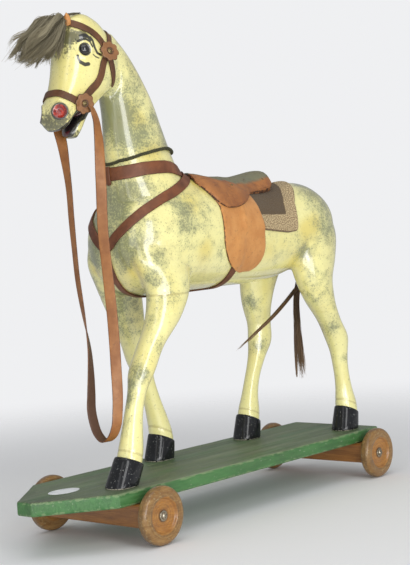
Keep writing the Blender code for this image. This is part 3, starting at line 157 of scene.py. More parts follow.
def makeStudio():
    world = bpy.data.worlds.new("studio")
    bpy.context.scene.world = world
    world.use_nodes = True
    tree = world.node_tree
    tree.nodes.clear()
    path = addNode(tree, "ShaderNodeLightPath").outputs
    seen = addNode(tree, "ShaderNodeMath", {0: path["Is Camera Ray"], 1: path["Is Transmission Ray"]},
        operation="MAXIMUM")
    plain = result(tree, "ShaderNodeBackground", {"Color": (*studio["backdrop"], 1), "Strength": 1.0})
    soft = result(tree, "ShaderNodeBackground", {"Color": (*studio["ambientColour"], 1),
        "Strength": studio["ambient"]})
    both = result(tree, "ShaderNodeMixShader", {0: seen.outputs[0], 1: soft, 2: plain})
    addNode(tree, "ShaderNodeOutputWorld", {"Surface": both})

    bm = bmesh.new()
    bmesh.ops.create_circle(bm, cap_ends=True, segments=96, radius=studio["floorRadius"])
    floor = placed("floor", meshFrom("floor", bm))
    floor.location.z = -0.0004
    material = bpy.data.materials.new("paleFloor")
    material.use_nodes = True
    tree = material.node_tree
    tree.nodes.clear()
    place = result(tree, "ShaderNodeTexCoord", output="Object")
    far = result(tree, "ShaderNodeVectorMath", {0: place}, "Value", operation="LENGTH")
    matt = result(tree, "ShaderNodeBsdfDiffuse", {"Color": (*studio["floorColour"], 1)})
    clear = result(tree, "ShaderNodeBsdfTransparent")
    fade = remap(far, studio["fadeFrom"], studio["fadeTo"])
    addNode(tree, "ShaderNodeOutputMaterial", {"Surface": result(tree, "ShaderNodeMixShader",
        {0: fade, 1: matt, 2: clear})})
    floor.data.materials.append(material)
    for name, lamp in studio["lamps"].items():
        makeLight(name, *lamp)
    bpy.context.scene.view_settings.view_transform = "Standard"


# Shader tools and the effects that several finishes share

def shade(red, green, blue):
    parts = [c / 255 for c in (red, green, blue)]
    return tuple(((c + 0.055) / 1.055) ** 2.4 if c > 0.04045 else c / 12.92 for c in parts) + (1.0,)


def remap(value, low, high, toLow=0.0, toHigh=1.0):
    return result(value.tree, "ShaderNodeMapRange",
        {"Value": value, "From Min": low, "From Max": high, "To Min": toLow, "To Max": toHigh},
        interpolation_type="SMOOTHSTEP")


def blend(factor, first, second):
    # Two colours, each a signal or red, green and blue out of 255
    first, second = (shade(*colour) if isinstance(colour, tuple) else colour for colour in (first, second))
    return result(factor.tree, "ShaderNodeMix", {0: factor, 6: first, 7: second}, 2, data_type="RGBA")


def layered(base, *coats):
    for mask, colour in coats:
        base = blend(mask, base, colour)
    return base


def cloud(place, scale, detail=3.0, roughness=0.55, distortion=0.0):
    return result(place.tree, "ShaderNodeTexNoise",
        {"Vector": place, "Scale": scale, "Detail": detail, "Roughness": roughness,
        "Distortion": distortion}, "Fac")


def stretched(place, *scale):
    return result(place.tree, "ShaderNodeMapping", {"Vector": place, "Scale": scale})


def attribute(place, name, output="Fac"):
    return result(place.tree, "ShaderNodeAttribute", None, output, attribute_name=name)


def separated(place):
    return [Signal(part) for part in addNode(place.tree, "ShaderNodeSeparateXYZ", {0: place}).outputs]


def makeGroup(name, build, *labels):
    # build takes the place and the labelled numbers, and returns what the group gives
    tree = bpy.data.node_groups.new(name, "ShaderNodeTree")
    tree.interface.new_socket("Place", in_out="INPUT", socket_type="NodeSocketVector")
    for label in labels:
        tree.interface.new_socket(label, in_out="INPUT", socket_type="NodeSocketFloat")
    source = addNode(tree, "NodeGroupInput")
    given = build(*(Signal(source.outputs[label]) for label in ("Place", *labels)))
    for label in given:
        tree.interface.new_socket(label, in_out="OUTPUT", socket_type="NodeSocketFloat")
    addNode(tree, "NodeGroupOutput", given)

    def use(place, *values):
        inputs = {"Place": place, **dict(zip(labels, values))}
        made = addNode(place.tree, "ShaderNodeGroup", inputs, node_tree=tree)
        return [Signal(made.outputs[label]) for label in given]
    return use


def buildSponge(place, amount):
    uneven = cloud(place, 24.0, 3.0, 0.6) + cloud(place, 90.0, 3.0, 0.65)
    mass = amount + (uneven - 1.0) * 1.15
    dotsAndShade = cloud(place, 430.0, 2.0, 0.7) + mass * 0.3
    return {"Mist": remap(mass, 0.12, 0.88), "Dots": remap(dotsAndShade, 0.66, 0.78)}


def buildLeather(place, scale):
    pores = result(place.tree, "ShaderNodeTexVoronoi", {"Vector": place, "Scale": scale * 900.0}, "Distance")
    creases = cloud(place, scale * 140.0, 5.0, 0.7, 0.4)
    tone = cloud(place, scale * 42.0, 4.0, 0.6)
    return {"Height": pores * 0.5 + creases * 1.2, "Tone": remap(tone, 0.3, 0.7),
        "Creases": remap(creases, 0.55, 0.72)}


def buildGrain(place):
    fibres = cloud(place, 4.2, 2.0, 0.6)
    both = cloud(place, 1.0, 5.0, 0.65, 0.6) * 0.6 + fibres * 0.4
    return {"Grain": remap(both, 0.36, 0.64), "Pores": remap(fibres, 0.6, 0.72)}


def buildWear(place, edge, scale, amount):
    near = edge + (cloud(place, scale, 4.0, 0.65) - 0.5) * 1.6
    return {"Worn": calc("DIVIDE", near - (1.0 - amount), 0.12, clamp=True)}


def buildDirt(place, scale):
    broad, fine = cloud(place, scale, 5.0, 0.65), cloud(place, scale * 22.0, 2.0, 0.6)
    return {"Dirt": remap(broad, 0.42, 0.75), "Specks": remap(fine, 0.66, 0.74)}


def buildWeave(place, threads):
    warp, weft = (calc("SINE", part * threads * (math.pi * 2)) for part in separated(place)[:2])
    fuzz = cloud(place, threads * 1.4, 3.0, 0.7)
    over = warp * weft
    return {"Height": over * 0.3 + fuzz, "Over": remap(over + fuzz * 1.5, 0.2, 1.3)}


sponged = makeGroup("spongedPaint", buildSponge, "Amount")
leatherGrain = makeGroup("leatherGrain", buildLeather, "Scale")
woodGrain = makeGroup("woodGrain", buildGrain)
edgeWear = makeGroup("edgeWear", buildWear, "Edge", "Scale", "Amount")
handDirt = makeGroup("handDirt", buildDirt, "Scale")
weave = makeGroup("weave", buildWeave, "Threads")


def rubbed(place, scale, amount):
    return edgeWear(place, attribute(place, "edge"), scale, amount)[0]


def makeMaterial(name, build, fixed):
    # build returns colour, roughness and the bump's height, strength and distance, as far as there are any
    material = bpy.data.materials.new(name)
    material.use_nodes = True
    tree = material.node_tree
    given = build(result(tree, "ShaderNodeTexCoord", output="Object"))
    shader = feed(tree.nodes["Principled BSDF"], dict(zip(("Base Color", "Roughness"), given)))
    if len(given) > 2:
        bump = result(tree, "ShaderNodeBump", dict(zip(("Height", "Strength", "Distance"), given[2:])))
        feed(shader, {"Normal": bump})
    feed(shader, fixed)
    return material


# Finishes

def creamPaint(place):
    # The dapple amount holds real sponged dapples and also painted shade on the throat and on the rump's rear
    mistAndShade, dotsAndShade = sponged(place, attribute(place, "dappleAndShade"))
    warm = remap(cloud(place, 13.0) + attribute(place, "yellow"), 0.42, 1.0)
    mottle = (cloud(place, 190.0, 3.0, 0.75) - 0.5) * 2.4
    # The muzzle mask also darkens the brow under the forelock, a painted shadow of the forelock
    muzzleAndShade = remap(attribute(place, "muzzleAndShade") + mottle, 0.25, 0.85)
    dirt, specks = handDirt(place, 16.0)
    base = layered(blend(warm * 0.7, (243, 236, 163), (230, 208, 98)), (mistAndShade * 0.72, (150, 156, 112)),
        (dotsAndShade * 0.5, (78, 88, 74)), (muzzleAndShade * 0.88, (70, 72, 55)), (dirt * 0.16, (170, 140, 70)),
        (specks * 0.35, (96, 92, 66)))
    for name, low, high, colour, strength in (("groove", 0.0021, 0.0006, (158, 140, 82), 0.4),
            ("mouth", 0.35, 0.65, (74, 12, 20), 1.0), ("lips", 0.0005, -0.0003, (24, 24, 24), 0.96),
            ("nostril", 0.0114, 0.0102, (30, 22, 18), 0.95),
            ("eyePaint", 0.0005, -0.0002, (20, 20, 19), 0.96)):
        base = blend(remap(attribute(place, name), low, high) * strength, base, colour)
    red = blend(remap(cloud(place, 260.0, 3.0, 0.7), 0.42, 0.62), (118, 10, 12), (186, 52, 26))
    base = blend(remap(attribute(place, "nostril"), 0.0089, 0.0081), base, red)
    brush = cloud(place, 38.0) + cloud(place, 300.0, 2.0) * 0.12
    return base, remap(cloud(place, 60.0), 0.3, 0.8, 0.26, 0.42), brush, 0.06, 0.0016


def blackPaint(place):
    base = layered(blend(remap(cloud(place, 70.0), 0.45, 0.7), (12, 13, 17), (24, 26, 31)),
        (rubbed(place, 260.0, 0.16) * 0.8, (196, 190, 172)),
        (remap(cloud(place, 520.0, 2.0, 0.6), 0.66, 0.7) * 0.6, (170, 172, 168)))
    return base, remap(cloud(place, 120.0), 0.3, 0.7, 0.45, 0.6), cloud(place, 60.0), 0.1, 0.0012


def greenPaint(place):
    x, _, z = separated(place)
    grain, pores = woodGrain(stretched(place, 9, 150, 60))
    dirt, specks = handDirt(stretched(place, 0.5, 2.0, 1), 15.0)
    patches = remap(cloud(stretched(place, 1, 5, 1), 9.0), 0.42, 0.7)
    streaks = remap(cloud(stretched(place, 2.5, 45, 1), 1.0, 3.0, 0.6), 0.45, 0.7)
    nose = remap(x + cloud(place, 30.0) * 0.1, -0.15, -0.25)
    upper = layered(blend(grain, (84, 100, 70), (118, 132, 100)), (patches * 0.8, (84, 118, 74)),
        (pores * 0.45, (160, 166, 144)), (streaks * 0.6, (136, 148, 120)), (nose * 0.45, (58, 66, 50)))
    side = blend(grain, (56, 106, 54), (78, 126, 72))
    top = remap(z, boardTop - 0.0016, boardTop - 0.0004)
    worn = rubbed(stretched(place, 0.35, 1, 1), 210.0, 0.05)
    base = layered(blend(top, side, upper), (dirt * 0.45, (66, 70, 58)), (specks * 0.5, (176, 180, 160)),
        (worn * 0.45, (142, 156, 116)))
    return base, remap(grain, 0.0, 1.0, 0.42, 0.6), grain, 0.35, 0.0008


def turnedWood(place):
    local = attribute(place, "local", "Vector")
    grain, _ = woodGrain(stretched(local, 28, 190, 60))
    x, y, _ = separated(local)
    flat = result(local.tree, "ShaderNodeCombineXYZ", {0: x, 1: y})
    radius = result(local.tree, "ShaderNodeVectorMath", {0: flat}, "Value", operation="LENGTH")
    rings = cloud(result(local.tree, "ShaderNodeCombineXYZ", {0: radius * 420.0}), 1.0)
    rim = remap(radius + cloud(local, 120.0) * 0.004, 0.0225, 0.0262)
    dish = blend(grain, (150, 98, 38), (178, 124, 54))
    pale = blend(grain, (126, 90, 44), (158, 122, 70))
    flecks = remap(cloud(local, 300.0, 3.0, 0.7), 0.6, 0.66)
    dirt, _ = handDirt(local, 40.0)
    base = layered(blend(rim, dish, pale), (remap(rings, 0.45, 0.65) * 0.35, (112, 70, 28)),
        (rubbed(local, 90.0, 0.2) * 0.5, (96, 70, 40)), (flecks * rim * 0.4, (200, 184, 140)),
        (remap(radius, 0.0088, 0.0066) * 0.7, (52, 36, 22)), (dirt * 0.35, (92, 66, 40)))
    return base, remap(grain, 0, 1, 0.3, 0.46), grain + rings, 0.1, 0.0005


def beamWood(place):
    grain, pores = woodGrain(stretched(place, 150, 9, 150))
    dirt, _ = handDirt(place, 22.0)
    base = layered(blend(grain, (128, 80, 36), (170, 114, 58)), (pores * 0.5, (98, 60, 28)),
        (dirt * 0.35, (88, 58, 34)))
    return base, remap(grain, 0, 1, 0.32, 0.48), grain, 0.25, 0.0006


def dullSteel(place):
    dirt, _ = handDirt(place, 160.0)
    base = blend(dirt, (176, 168, 150), (104, 84, 62))
    return base, remap(dirt, 0, 1, 0.28, 0.6), cloud(place, 700.0), 0.2, 0.0003


def oldBrass(place):
    dirt, _ = handDirt(place, 300.0)
    return blend(dirt, (138, 120, 82), (62, 46, 30)), remap(dirt, 0, 1, 0.35, 0.6)


def hide(base, dark, light, edge, bump=0.3, scale=1.0, inner=None):
    # A leather finish: smooth body, darker cut edges, pale rubbed places
    def build(place):
        height, tone, creases = leatherGrain(place, scale)
        rub = remap(cloud(place, 85.0 * scale, 4.0, 0.65), 0.52, 0.74)
        colour = layered(blend(tone, dark, base), (rub * 0.55, light), (creases * 0.35, edge))
        if inner is not None:
            colour = blend(remap(attribute(place, "inner"), 0.4, 0.6), colour, inner)
        colour = blend(rubbed(place, 200.0, 0.22) * 0.8, colour, edge)
        return colour, remap(tone, 0, 1, 0.55, 0.42), height, bump, 0.0006
    return build


def seatLeather(place):
    height, tone, _ = leatherGrain(place, 1.0)
    mottled = attribute(place, "crown") + (cloud(place, 60.0) - 0.5) * 0.35
    cracks = result(place.tree, "ShaderNodeTexVoronoi",
        {"Vector": stretched(place, 0.5, 1.2, 1), "Scale": 130.0}, "Distance", feature="DISTANCE_TO_EDGE")
    split = remap(cracks, 0.035, 0.0) * remap(cloud(place, 50.0), 0.45, 0.6)
    colour = layered(blend(tone, (146, 91, 50), (178, 117, 64)),
        (remap(mottled, 0.4, 0.66) * 0.9, (116, 120, 96)), (split * 0.55, (84, 48, 36)),
        (rubbed(place, 160.0, 0.15) * 0.9, (48, 28, 20)))
    return colour, remap(tone, 0, 1, 0.5, 0.62), height - split * 1.5, 0.4, 0.0008


def tweedCloth(place):
    spot = result(place.tree, "ShaderNodeUVMap")
    height, over = weave(spot, 520.0)
    slub = remap(cloud(spot, 640.0, 2.0, 0.6), 0.42, 0.6)
    plain = blend(over, (74, 58, 40), (112, 92, 64))
    beige = blend(slub, blend(over, (100, 74, 48), (158, 130, 90)), (214, 192, 148))
    colour = blend(remap(attribute(place, "border"), 0.001, -0.001), beige, plain)
    colour = blend(remap(attribute(place, "edge"), 0.4, 0.58) * 0.75, colour, (88, 66, 46))
    return colour, remap(over, 0, 1, 0.85, 0.95), height, 0.7, 0.001


def hair(dark, light, tip):
    def build(place):
        # Tone mixes dark and light hair; on the forelock it also carries painted shade and light
        tone = attribute(place, "tone")
        ends = remap(attribute(place, "share"), 0.6, 1.0)
        return blend(ends, blend(tone, dark, light), tip), remap(tone, 0, 1, 0.5, 0.38)
    return build


def twistedCord(place):
    fuzz = cloud(place, 900.0, 3.0, 0.7)
    base = blend(remap(fuzz, 0.35, 0.7), (36, 36, 22), (84, 82, 52))
    return base, remap(fuzz, 0.3, 0.7, 0.75, 0.95), fuzz, 0.6, 0.0006


def blankPaper(place):
    return [blend(remap(cloud(place, 120.0), 0.4, 0.8), (236, 238, 242), (206, 210, 216))]


def eyeGlass(place):
    return [blend(remap(cloud(place, 90.0), 0.4, 0.7), (8, 8, 10), (22, 20, 20))]


makeCamera()
makeStudio()
print("camera, floor and light are in place")

finish = {slot: makeMaterial(name, build, fixed) for slot, name, build, fixed in (
    ("cream_paint", "creamPaint", creamPaint, {"Coat Weight": 1.0, "Coat Roughness": 0.11, "Coat IOR": 1.65}),
    ("black_paint", "blackPaint", blackPaint,
     {"Specular IOR Level": 0.15, "Coat Weight": 0.65, "Coat Roughness": 0.06}),
    ("green_paint", "greenPaint", greenPaint, {}),
    ("turned_wood", "turnedWood", turnedWood, {"Coat Weight": 0.35, "Coat Roughness": 0.18}),
    ("beam_wood", "beamWood", beamWood, {"Coat Weight": 0.35, "Coat Roughness": 0.2}),
    ("steel", "dullSteel", dullSteel, {"Metallic": 0.9}),
    ("old_brass", "oldBrass", oldBrass, {"Metallic": 0.8}),
    ("brown_leather", "brownLeather", hide((126, 74, 44), (98, 56, 34), (144, 92, 58), (54, 32, 22)), {}),
    ("tan_leather", "tanLeather", hide((160, 105, 54), (136, 84, 42), (176, 122, 72), (70, 42, 26),
                                       inner=(88, 60, 44)), {}),
    ("bridle_leather", "bridleLeather", hide((108, 68, 40), (84, 54, 32), (126, 84, 54), (50, 32, 22)), {}),
    ("rosette_leather", "rosetteLeather",
     hide((150, 104, 64), (130, 88, 54), (172, 126, 86), (70, 46, 30)), {}),
    ("suede", "suede", hide((207, 145, 80), (194, 130, 68), (214, 156, 92), (50, 30, 20), 0.4, 1.3),
     {"Sheen Weight": 0.08}),
    ("seat_leather", "seatLeather", seatLeather, {}),
    ("tweed", "tweed", tweedCloth, {"Sheen Weight": 0.08}),
    ("horsehair", "horsehair", hair((56, 38, 26), (116, 86, 58), (128, 102, 76)), {}),
    ("grey_hair", "greyHair", hair((72, 66, 50), (172, 162, 134), (136, 126, 100)), {}),
    ("dark_cord", "darkCord", twistedCord, {}),
    ("eye_glass", "eyeGlass", eyeGlass, {"Roughness": 0.03, "Coat Weight": 1.0, "Coat Roughness": 0.02}),
    ("paper", "blankPaper", blankPaper, {"Roughness": 0.6}))}
print("finishes are ready")


# Small tools for shapes

def addPiece(name, mesh, slot, body="horse", replaced=(), look=None):
    mesh.name = name
    made = placed(name + "_look", mesh)
    mesh.materials.clear()
    mesh.materials.append(finish[look or slot])
    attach(made, body)
    slot != "paper"
    if replaced:
        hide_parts(*replaced)
    return made


def closedMesh(name, points, faces, sharp=50):
    bm = bmesh.new()
    verts = [bm.verts.new(p) for p in points]
    for face in faces:
        bm.faces.new([verts[i] for i in face])
    bmesh.ops.recalc_face_normals(bm, faces=bm.faces)
    mesh = meshFrom(name, bm)
    mesh.shade_smooth()
    mesh.set_sharp_from_angle(angle=math.radians(sharp))
    return mesh


def loft(name, rings, closed=False, sharp=50):
    count = len(rings[0])
    points = [Vector(p) for ring in rings for p in ring]
    faces = []
    for i in range(len(rings) if closed else len(rings) - 1):
        a, b = i * count, ((i + 1) % len(rings)) * count
        faces += [(a + j, a + (j + 1) % count, b + (j + 1) % count, b + j) for j in range(count)]
    if not closed:
        for start, ring in ((0, rings[0]), ((len(rings) - 1) * count, rings[-1])):
            points.append(sum((Vector(p) for p in ring), Vector()) / count)
            faces += [(start + j, start + (j + 1) % count, len(points) - 1) for j in range(count)]
    return closedMesh(name, points, faces, sharp)


def through(rows, count):
    # Smooth curve through the rows, read at even steps; the first three columns are the place
    rows = np.array(rows, float)
    knots = np.concatenate([[0], np.cumsum(np.linalg.norm(np.diff(rows[:, :3], axis=0), axis=1))])
    slope = np.gradient(rows, knots, axis=0)
    steps = np.linspace(0, knots[-1], count)
    i = np.clip(np.searchsorted(knots, steps, side="right") - 1, 0, len(knots) - 2)
    h = (knots[i + 1] - knots[i])[:, None]
    u = (steps - knots[i])[:, None] / h
    return ((2 * u**3 - 3 * u**2 + 1) * rows[i] + (u**3 - 2 * u**2 + u) * h * slope[i]
        + (3 * u**2 - 2 * u**3) * rows[i + 1] + (u**3 - u**2) * h * slope[i + 1])


def oval(centre, across, above, halfAcross, halfUp, sides, power=2.0):
    ring = []
    for angle in turns(sides):
        c, s = math.cos(angle), math.sin(angle)
        a = math.copysign(abs(c) ** (2 / power), c) * halfAcross
        b = math.copysign(abs(s) ** (2 / power), s) * halfUp
        ring.append(Vector(centre) + across * a + above * b)
    return ring


def evaluatedMesh(made):
    bpy.context.view_layer.update()
    graph = bpy.context.evaluated_depsgraph_get()
    return bpy.data.meshes.new_from_object(made.evaluated_get(graph))


def setValues(mesh, name, values, kind="FLOAT"):
    layer = mesh.attributes.new(name, kind, "POINT")
    layer.data.foreach_set("value" if kind == "FLOAT" else "vector", np.asarray(values, np.float32).ravel())


def coordinates(mesh, kind="co"):
    flat = np.zeros(len(mesh.vertices) * 3, np.float32)
    mesh.vertices.foreach_get(kind, flat)
    return flat.reshape(-1, 3).astype(float)


def moveTo(mesh, points):
    mesh.vertices.foreach_set("co", points.astype(np.float32).ravel())
    mesh.update()


def valuesOf(mesh, name):
    return np.array([v.value for v in mesh.attributes[name].data])


def distance(points, spot):
    return np.linalg.norm(points - np.array(spot), axis=1)


def bell(away, reach, centre=0.0):
    return np.exp(-(((away - centre) / reach) ** 2))


def turns(count):
    return [2 * math.pi * j / count for j in range(count)]


def treeOf(mesh):
    return BVHTree.FromPolygons([v.co.copy() for v in mesh.vertices],
        [tuple(f.vertices) for f in mesh.polygons])


def toLine(points, line):
    # Shortest distance from each point to a polyline
    best = np.full(len(points), 1e9)
    for a, b in zip(np.array(line[:-1], float), np.array(line[1:], float)):
        step = b - a
        share = np.clip(((points - a) @ step) / (step @ step), 0, 1)
        best = np.minimum(best, np.linalg.norm(points - a - share[:, None] * step, axis=1))
    return best


# The carved horse: trunk, neck, head, jaw and legs as lofts, grown together

horse = {
    "chestX": -0.149, "rumpX": 0.29, "withers": 0.376, "belly": 0.223, "bodyWidth": 0.134, "pollX": -0.163,
    "pollHeight": 0.568, "headLength": 0.142, "headWidth": 0.06, "neckWidth": 0.056, "legOut": 0.046,
    "bodyVoxel": 0.0021, "headVoxel": 0.0012, "neckSeam": 0.381, "legSeam": 0.2235
}
trunkRows = [
    (0.0, 0.8, 1.24, 0.37), (0.015, 0.86, 1.15, 0.575), (0.045, 0.915, 1.06, 0.775),
    (0.1, 0.955, 1.005, 0.95), (0.19, 0.985, 1.0, 1.02), (0.28, 1.0, 1.0, 1.01), (0.37, 0.995, 1.003, 0.99),
    (0.49, 0.957, 1.008, 0.97), (0.605, 0.94, 1.012, 0.94), (0.715, 0.946, 1.035, 0.93),
    (0.8, 0.968, 1.08, 0.95), (0.88, 0.962, 1.13, 0.9), (0.94, 0.917, 1.18, 0.76), (0.98, 0.855, 1.22, 0.52),
    (1.0, 0.805, 1.27, 0.26)
]
neckRows = [
    (0.012, -0.24, 0.135, 2.05), (0.0015, -0.06, 0.114, 1.62), (-0.004, 0.11, 0.101, 1.27),
    (-0.0095, 0.27, 0.09, 1.07), (-0.0165, 0.43, 0.079, 0.96), (-0.0272, 0.573, 0.067, 0.88),
    (-0.044, 0.712, 0.059, 0.84), (-0.0653, 0.832, 0.052, 0.8)
]
headRows = [
    (-0.13, 0.02, 0.0, 0.01, 0.4), (-0.225, -0.035, 0.122, -0.068, 0.7), (-0.29, -0.15, 0.258, -0.23, 0.92),
    (-0.322, -0.3, 0.322, -0.43, 1.02), (-0.345, -0.43, 0.255, -0.58, 0.99),
    (-0.374, -0.56, 0.108, -0.68, 0.91), (-0.422, -0.68, -0.038, -0.765, 0.81),
    (-0.47, -0.765, -0.14, -0.815, 0.77), (-0.49, -0.85, -0.268, -0.873, 0.78),
    (-0.468, -0.925, -0.322, -0.935, 0.68), (-0.428, -0.992, -0.372, -0.988, 0.4)
]
jawRows = [
    (-0.05, -0.705, 0.11, -0.665, 0.66), (-0.165, -0.81, -0.028, -0.775, 0.62),
    (-0.238, -0.888, -0.104, -0.875, 0.56), (-0.29, -0.962, -0.152, -0.972, 0.5),
    (-0.302, -1.028, -0.196, -1.048, 0.34)
]
foreLeg = [
    (0.305, 0.08, 0.04, 0.034), (0.265, 0.09, 0.048, 0.041), (0.237, 0.071, 0.046, 0.045),
    (0.197, 0.052, 0.041, 0.047), (0.16, 0.0365, 0.033, 0.046), (0.131, 0.035, 0.0315, 0.046),
    (0.112, 0.0265, 0.0235, 0.046), (0.09, 0.0245, 0.022, 0.046), (0.055, 0.03, 0.027, 0.046),
    (0.036, 0.0335, 0.0305, 0.046), (0.008, 0.033, 0.031, 0.046)
]
hindLeg = [
    (0.325, 0.07, 0.044, 0.034), (0.29, 0.092, 0.056, 0.038), (0.25, 0.082, 0.054, 0.042),
    (0.225, 0.066, 0.047, 0.044), (0.198, 0.054, 0.04, 0.046), (0.163, 0.039, 0.032, 0.046),
    (0.136, 0.04, 0.031, 0.046), (0.115, 0.029, 0.025, 0.046), (0.088, 0.024, 0.0215, 0.046),
    (0.06, 0.0265, 0.024, 0.046), (0.038, 0.0335, 0.0305, 0.046), (0.008, 0.033, 0.031, 0.046)
]
# A leg's slices, side, centreline as (height, x), and how far the sole lies ahead of the hoof's top
legs = {
    "front_left": (foreLeg, -1, [(0.305, -0.098), (0.262, -0.096), (0.23, -0.092), (0.194, -0.106),
        (0.16, -0.132), (0.134, -0.148), (0.095, -0.164), (0.034, -0.1785), (0.029, -0.1799),
        (0.008, -0.1905)], 0.016),
    "front_right": (foreLeg, 1, [(0.305, -0.098), (0.262, -0.093), (0.23, -0.085), (0.197, -0.075),
        (0.16, -0.066), (0.128, -0.0555), (0.085, -0.04), (0.034, -0.026), (0.029, -0.0252),
        (0.008, -0.0295)], 0.007),
    "rear_left": (hindLeg, -1, [(0.325, 0.228), (0.29, 0.226), (0.25, 0.22), (0.22, 0.218), (0.197, 0.224),
        (0.163, 0.245), (0.138, 0.26), (0.093, 0.2665), (0.034, 0.2745), (0.029, 0.275),
        (0.008, 0.2705)], 0.007),
    "rear_right": (hindLeg, 1, [(0.325, 0.225), (0.29, 0.22), (0.25, 0.207), (0.213, 0.198), (0.184, 0.196),
        (0.158, 0.198), (0.134, 0.196), (0.114, 0.187), (0.081, 0.172), (0.032, 0.16), (0.029, 0.1596),
        (0.008, 0.155)], 0.007)
}
# Dapples, some of them painted shade, and yellow patches: x, distance from the middle plane, height above the
# board, reach, strength
dapplesAndShade = [
    (-0.1245, 0.018, 0.411, 0.016, 0.5), (-0.105, 0.028, 0.413, 0.014, 0.35),
    (-0.1315, 0.013, 0.35, 0.02, 0.55), (-0.1156, 0.033, 0.354, 0.018, 0.45),
    (-0.0805, 0.056, 0.337, 0.018, 0.35), (-0.0728, 0.066, 0.3145, 0.018, 0.5),
    (-0.1271, 0.052, 0.3064, 0.017, 0.45), (-0.1455, 0.031, 0.2845, 0.017, 0.75),
    (-0.1419, 0.025, 0.268, 0.012, 0.6), (-0.1218, 0.06, 0.267, 0.014, 0.4),
    (-0.0086, 0.063, 0.2725, 0.013, 0.45), (-0.1297, 0.055, 0.244, 0.012, 0.5),
    (-0.1079, 0.067, 0.2216, 0.016, 0.35), (-0.15, 0.0, 0.3, 0.022, 0.5),
    (-0.1017, 0.028, 0.216, 0.022, 0.6), (0.1994, 0.049, 0.34, 0.02, 0.35),
    (0.18, 0.058, 0.262, 0.015, 0.85), (0.218, 0.024, 0.3585, 0.022, 0.4),
    (0.1931, 0.058, 0.2246, 0.016, 0.4), (-0.11, 0.024, 0.485, 0.02, 0.3),
    # The two strongest dapples, on the throat under the jaw, are painted shade where the jaw shades the neck
    (-0.1282, 0.013, 0.447, 0.02, 0.9), (-0.1335, 0.007, 0.461, 0.018, 1.0),
    (-0.096, 0.026, 0.471, 0.014, 0.15), (-0.1244, 0.017, 0.427, 0.013, 0.5),
    (-0.0881, 0.034, 0.1806, 0.02, 0.5), (-0.1376, 0.054, 0.186, 0.013, 0.3),
    (-0.1348, 0.062, 0.1687, 0.012, 0.35), (-0.162, 0.054, 0.134, 0.012, 0.4),
    (-0.1281, 0.062, 0.1595, 0.01, 0.35), (0.2001, 0.054, 0.1983, 0.015, 0.45),
    (0.2403, 0.058, 0.1516, 0.014, 0.45), (0.2674, 0.057, 0.1033, 0.012, 0.4),
    (0.1721, 0.04, 0.1957, 0.016, 0.6), (0.1833, 0.035, 0.1293, 0.013, 0.5),
    (-0.1061, 0.021, 0.5177, 0.016, 0.3), (-0.0896, 0.0285, 0.4363, 0.014, 0.3),
    (0.2236, 0.061, 0.314, 0.02, 0.3), (0.262, 0.045, 0.28, 0.02, 0.4), (0.03, 0.06, 0.36, 0.02, 0.2),
    # The two larger dapples on the rump's rear, ending this line and starting the next, are part real dapple
    # and part painted shade where the rump faces away from the lamps
    (-0.05, 0.02, 0.43, 0.02, 0.3), (0.27, 0.0, 0.33, 0.02, 0.3), (0.256, 0.045, 0.335, 0.028, 0.45),
    (0.276, 0.03, 0.3, 0.028, 0.45), (0.224, 0.058, 0.279, 0.018, 0.55), (0.2278, 0.03, 0.342, 0.018, 0.4),
    (-0.0759, 0.02, 0.4506, 0.016, 0.4), (-0.168, 0.05, 0.1475, 0.009, 0.6),
    (-0.172, 0.045, 0.1197, 0.01, 0.9), (-0.175, 0.045, 0.1019, 0.008, 0.7), (-0.16, 0.06, 0.13, 0.011, 0.5),
    (-0.1417, 0.02, 0.3253, 0.017, 0.6), (-0.1517, 0.03, 0.3248, 0.012, 0.4),
    (-0.1, 0.026, 0.425, 0.012, 0.35)
]
yellows = [
    (-0.1178, 0.021, 0.455, 0.014, 0.5), (-0.1045, 0.026, 0.442, 0.012, 0.45),
    (-0.0211, 0.042, 0.361, 0.016, 0.5), (-0.0583, 0.058, 0.3395, 0.016, 0.35),
    (-0.0388, 0.065, 0.2752, 0.016, 0.35), (-0.137, 0.035, 0.2564, 0.012, 0.6),
    (0.2024, 0.063, 0.3002, 0.018, 0.5), (0.1704, 0.048, 0.253, 0.016, 0.4),
    (0.1789, 0.063, 0.2939, 0.014, 0.4), (0.1, 0.067, 0.27, 0.03, 0.3), (-0.09, 0.03, 0.4, 0.014, 0.4),
    (0.08, 0.06, 0.35, 0.02, 0.25)
]
eye = {"x": -0.1885, "height": 0.524, "radius": 0.0075}
nostril = {"x": -0.2276, "height": 0.45}
# Painted strokes round the eye: half width, then x and height along the stroke
eyeStrokes = [
    (0.0012, [(-0.1978, 0.5163), (-0.1975, 0.5124), (-0.1955, 0.5084)]),
    (0.0021, [(-0.1955, 0.5084), (-0.1905, 0.5055), (-0.1856, 0.5064)]),
    (0.0015, [(-0.179, 0.5385), (-0.1765, 0.535), (-0.1748, 0.5265), (-0.1719, 0.5203), (-0.1666, 0.5183)]),
    (0.0007, [(-0.1783, 0.518), (-0.1745, 0.5153), (-0.1695, 0.5142)]),
    (0.0013, [(-0.1955, 0.5335), (-0.192, 0.5355), (-0.1875, 0.5362), (-0.1815, 0.5335), (-0.1785, 0.5275)]),
    (0.0021, [(-0.1915, 0.5398), (-0.187, 0.541), (-0.1825, 0.539), (-0.18, 0.5362)]),
    (0.0007, [(-0.199, 0.5335), (-0.1992, 0.5337)]), (0.0006, [(-0.2, 0.5305), (-0.2002, 0.5307)]),
    (0.0006, [(-0.1975, 0.536), (-0.1977, 0.5362)])
]


def above(x, y, z):
    return (x, y, boardTop + z)


def trunkRings():
    span, rings = horse["rumpX"] - horse["chestX"], []
    for share, top, bottom, width in through([(r[0], 0, 0, *r[1:]) for r in trunkRows], 78)[:, [0, 3, 4, 5]]:
        high, low = top * horse["withers"], bottom * horse["belly"]
        centre = above(horse["chestX"] + share * span, 0, (high + low) / 2)
        rings.append(oval(centre, acrossY, up, width * horse["bodyWidth"] / 2, (high - low) / 2, 72, 2.15))
    return rings


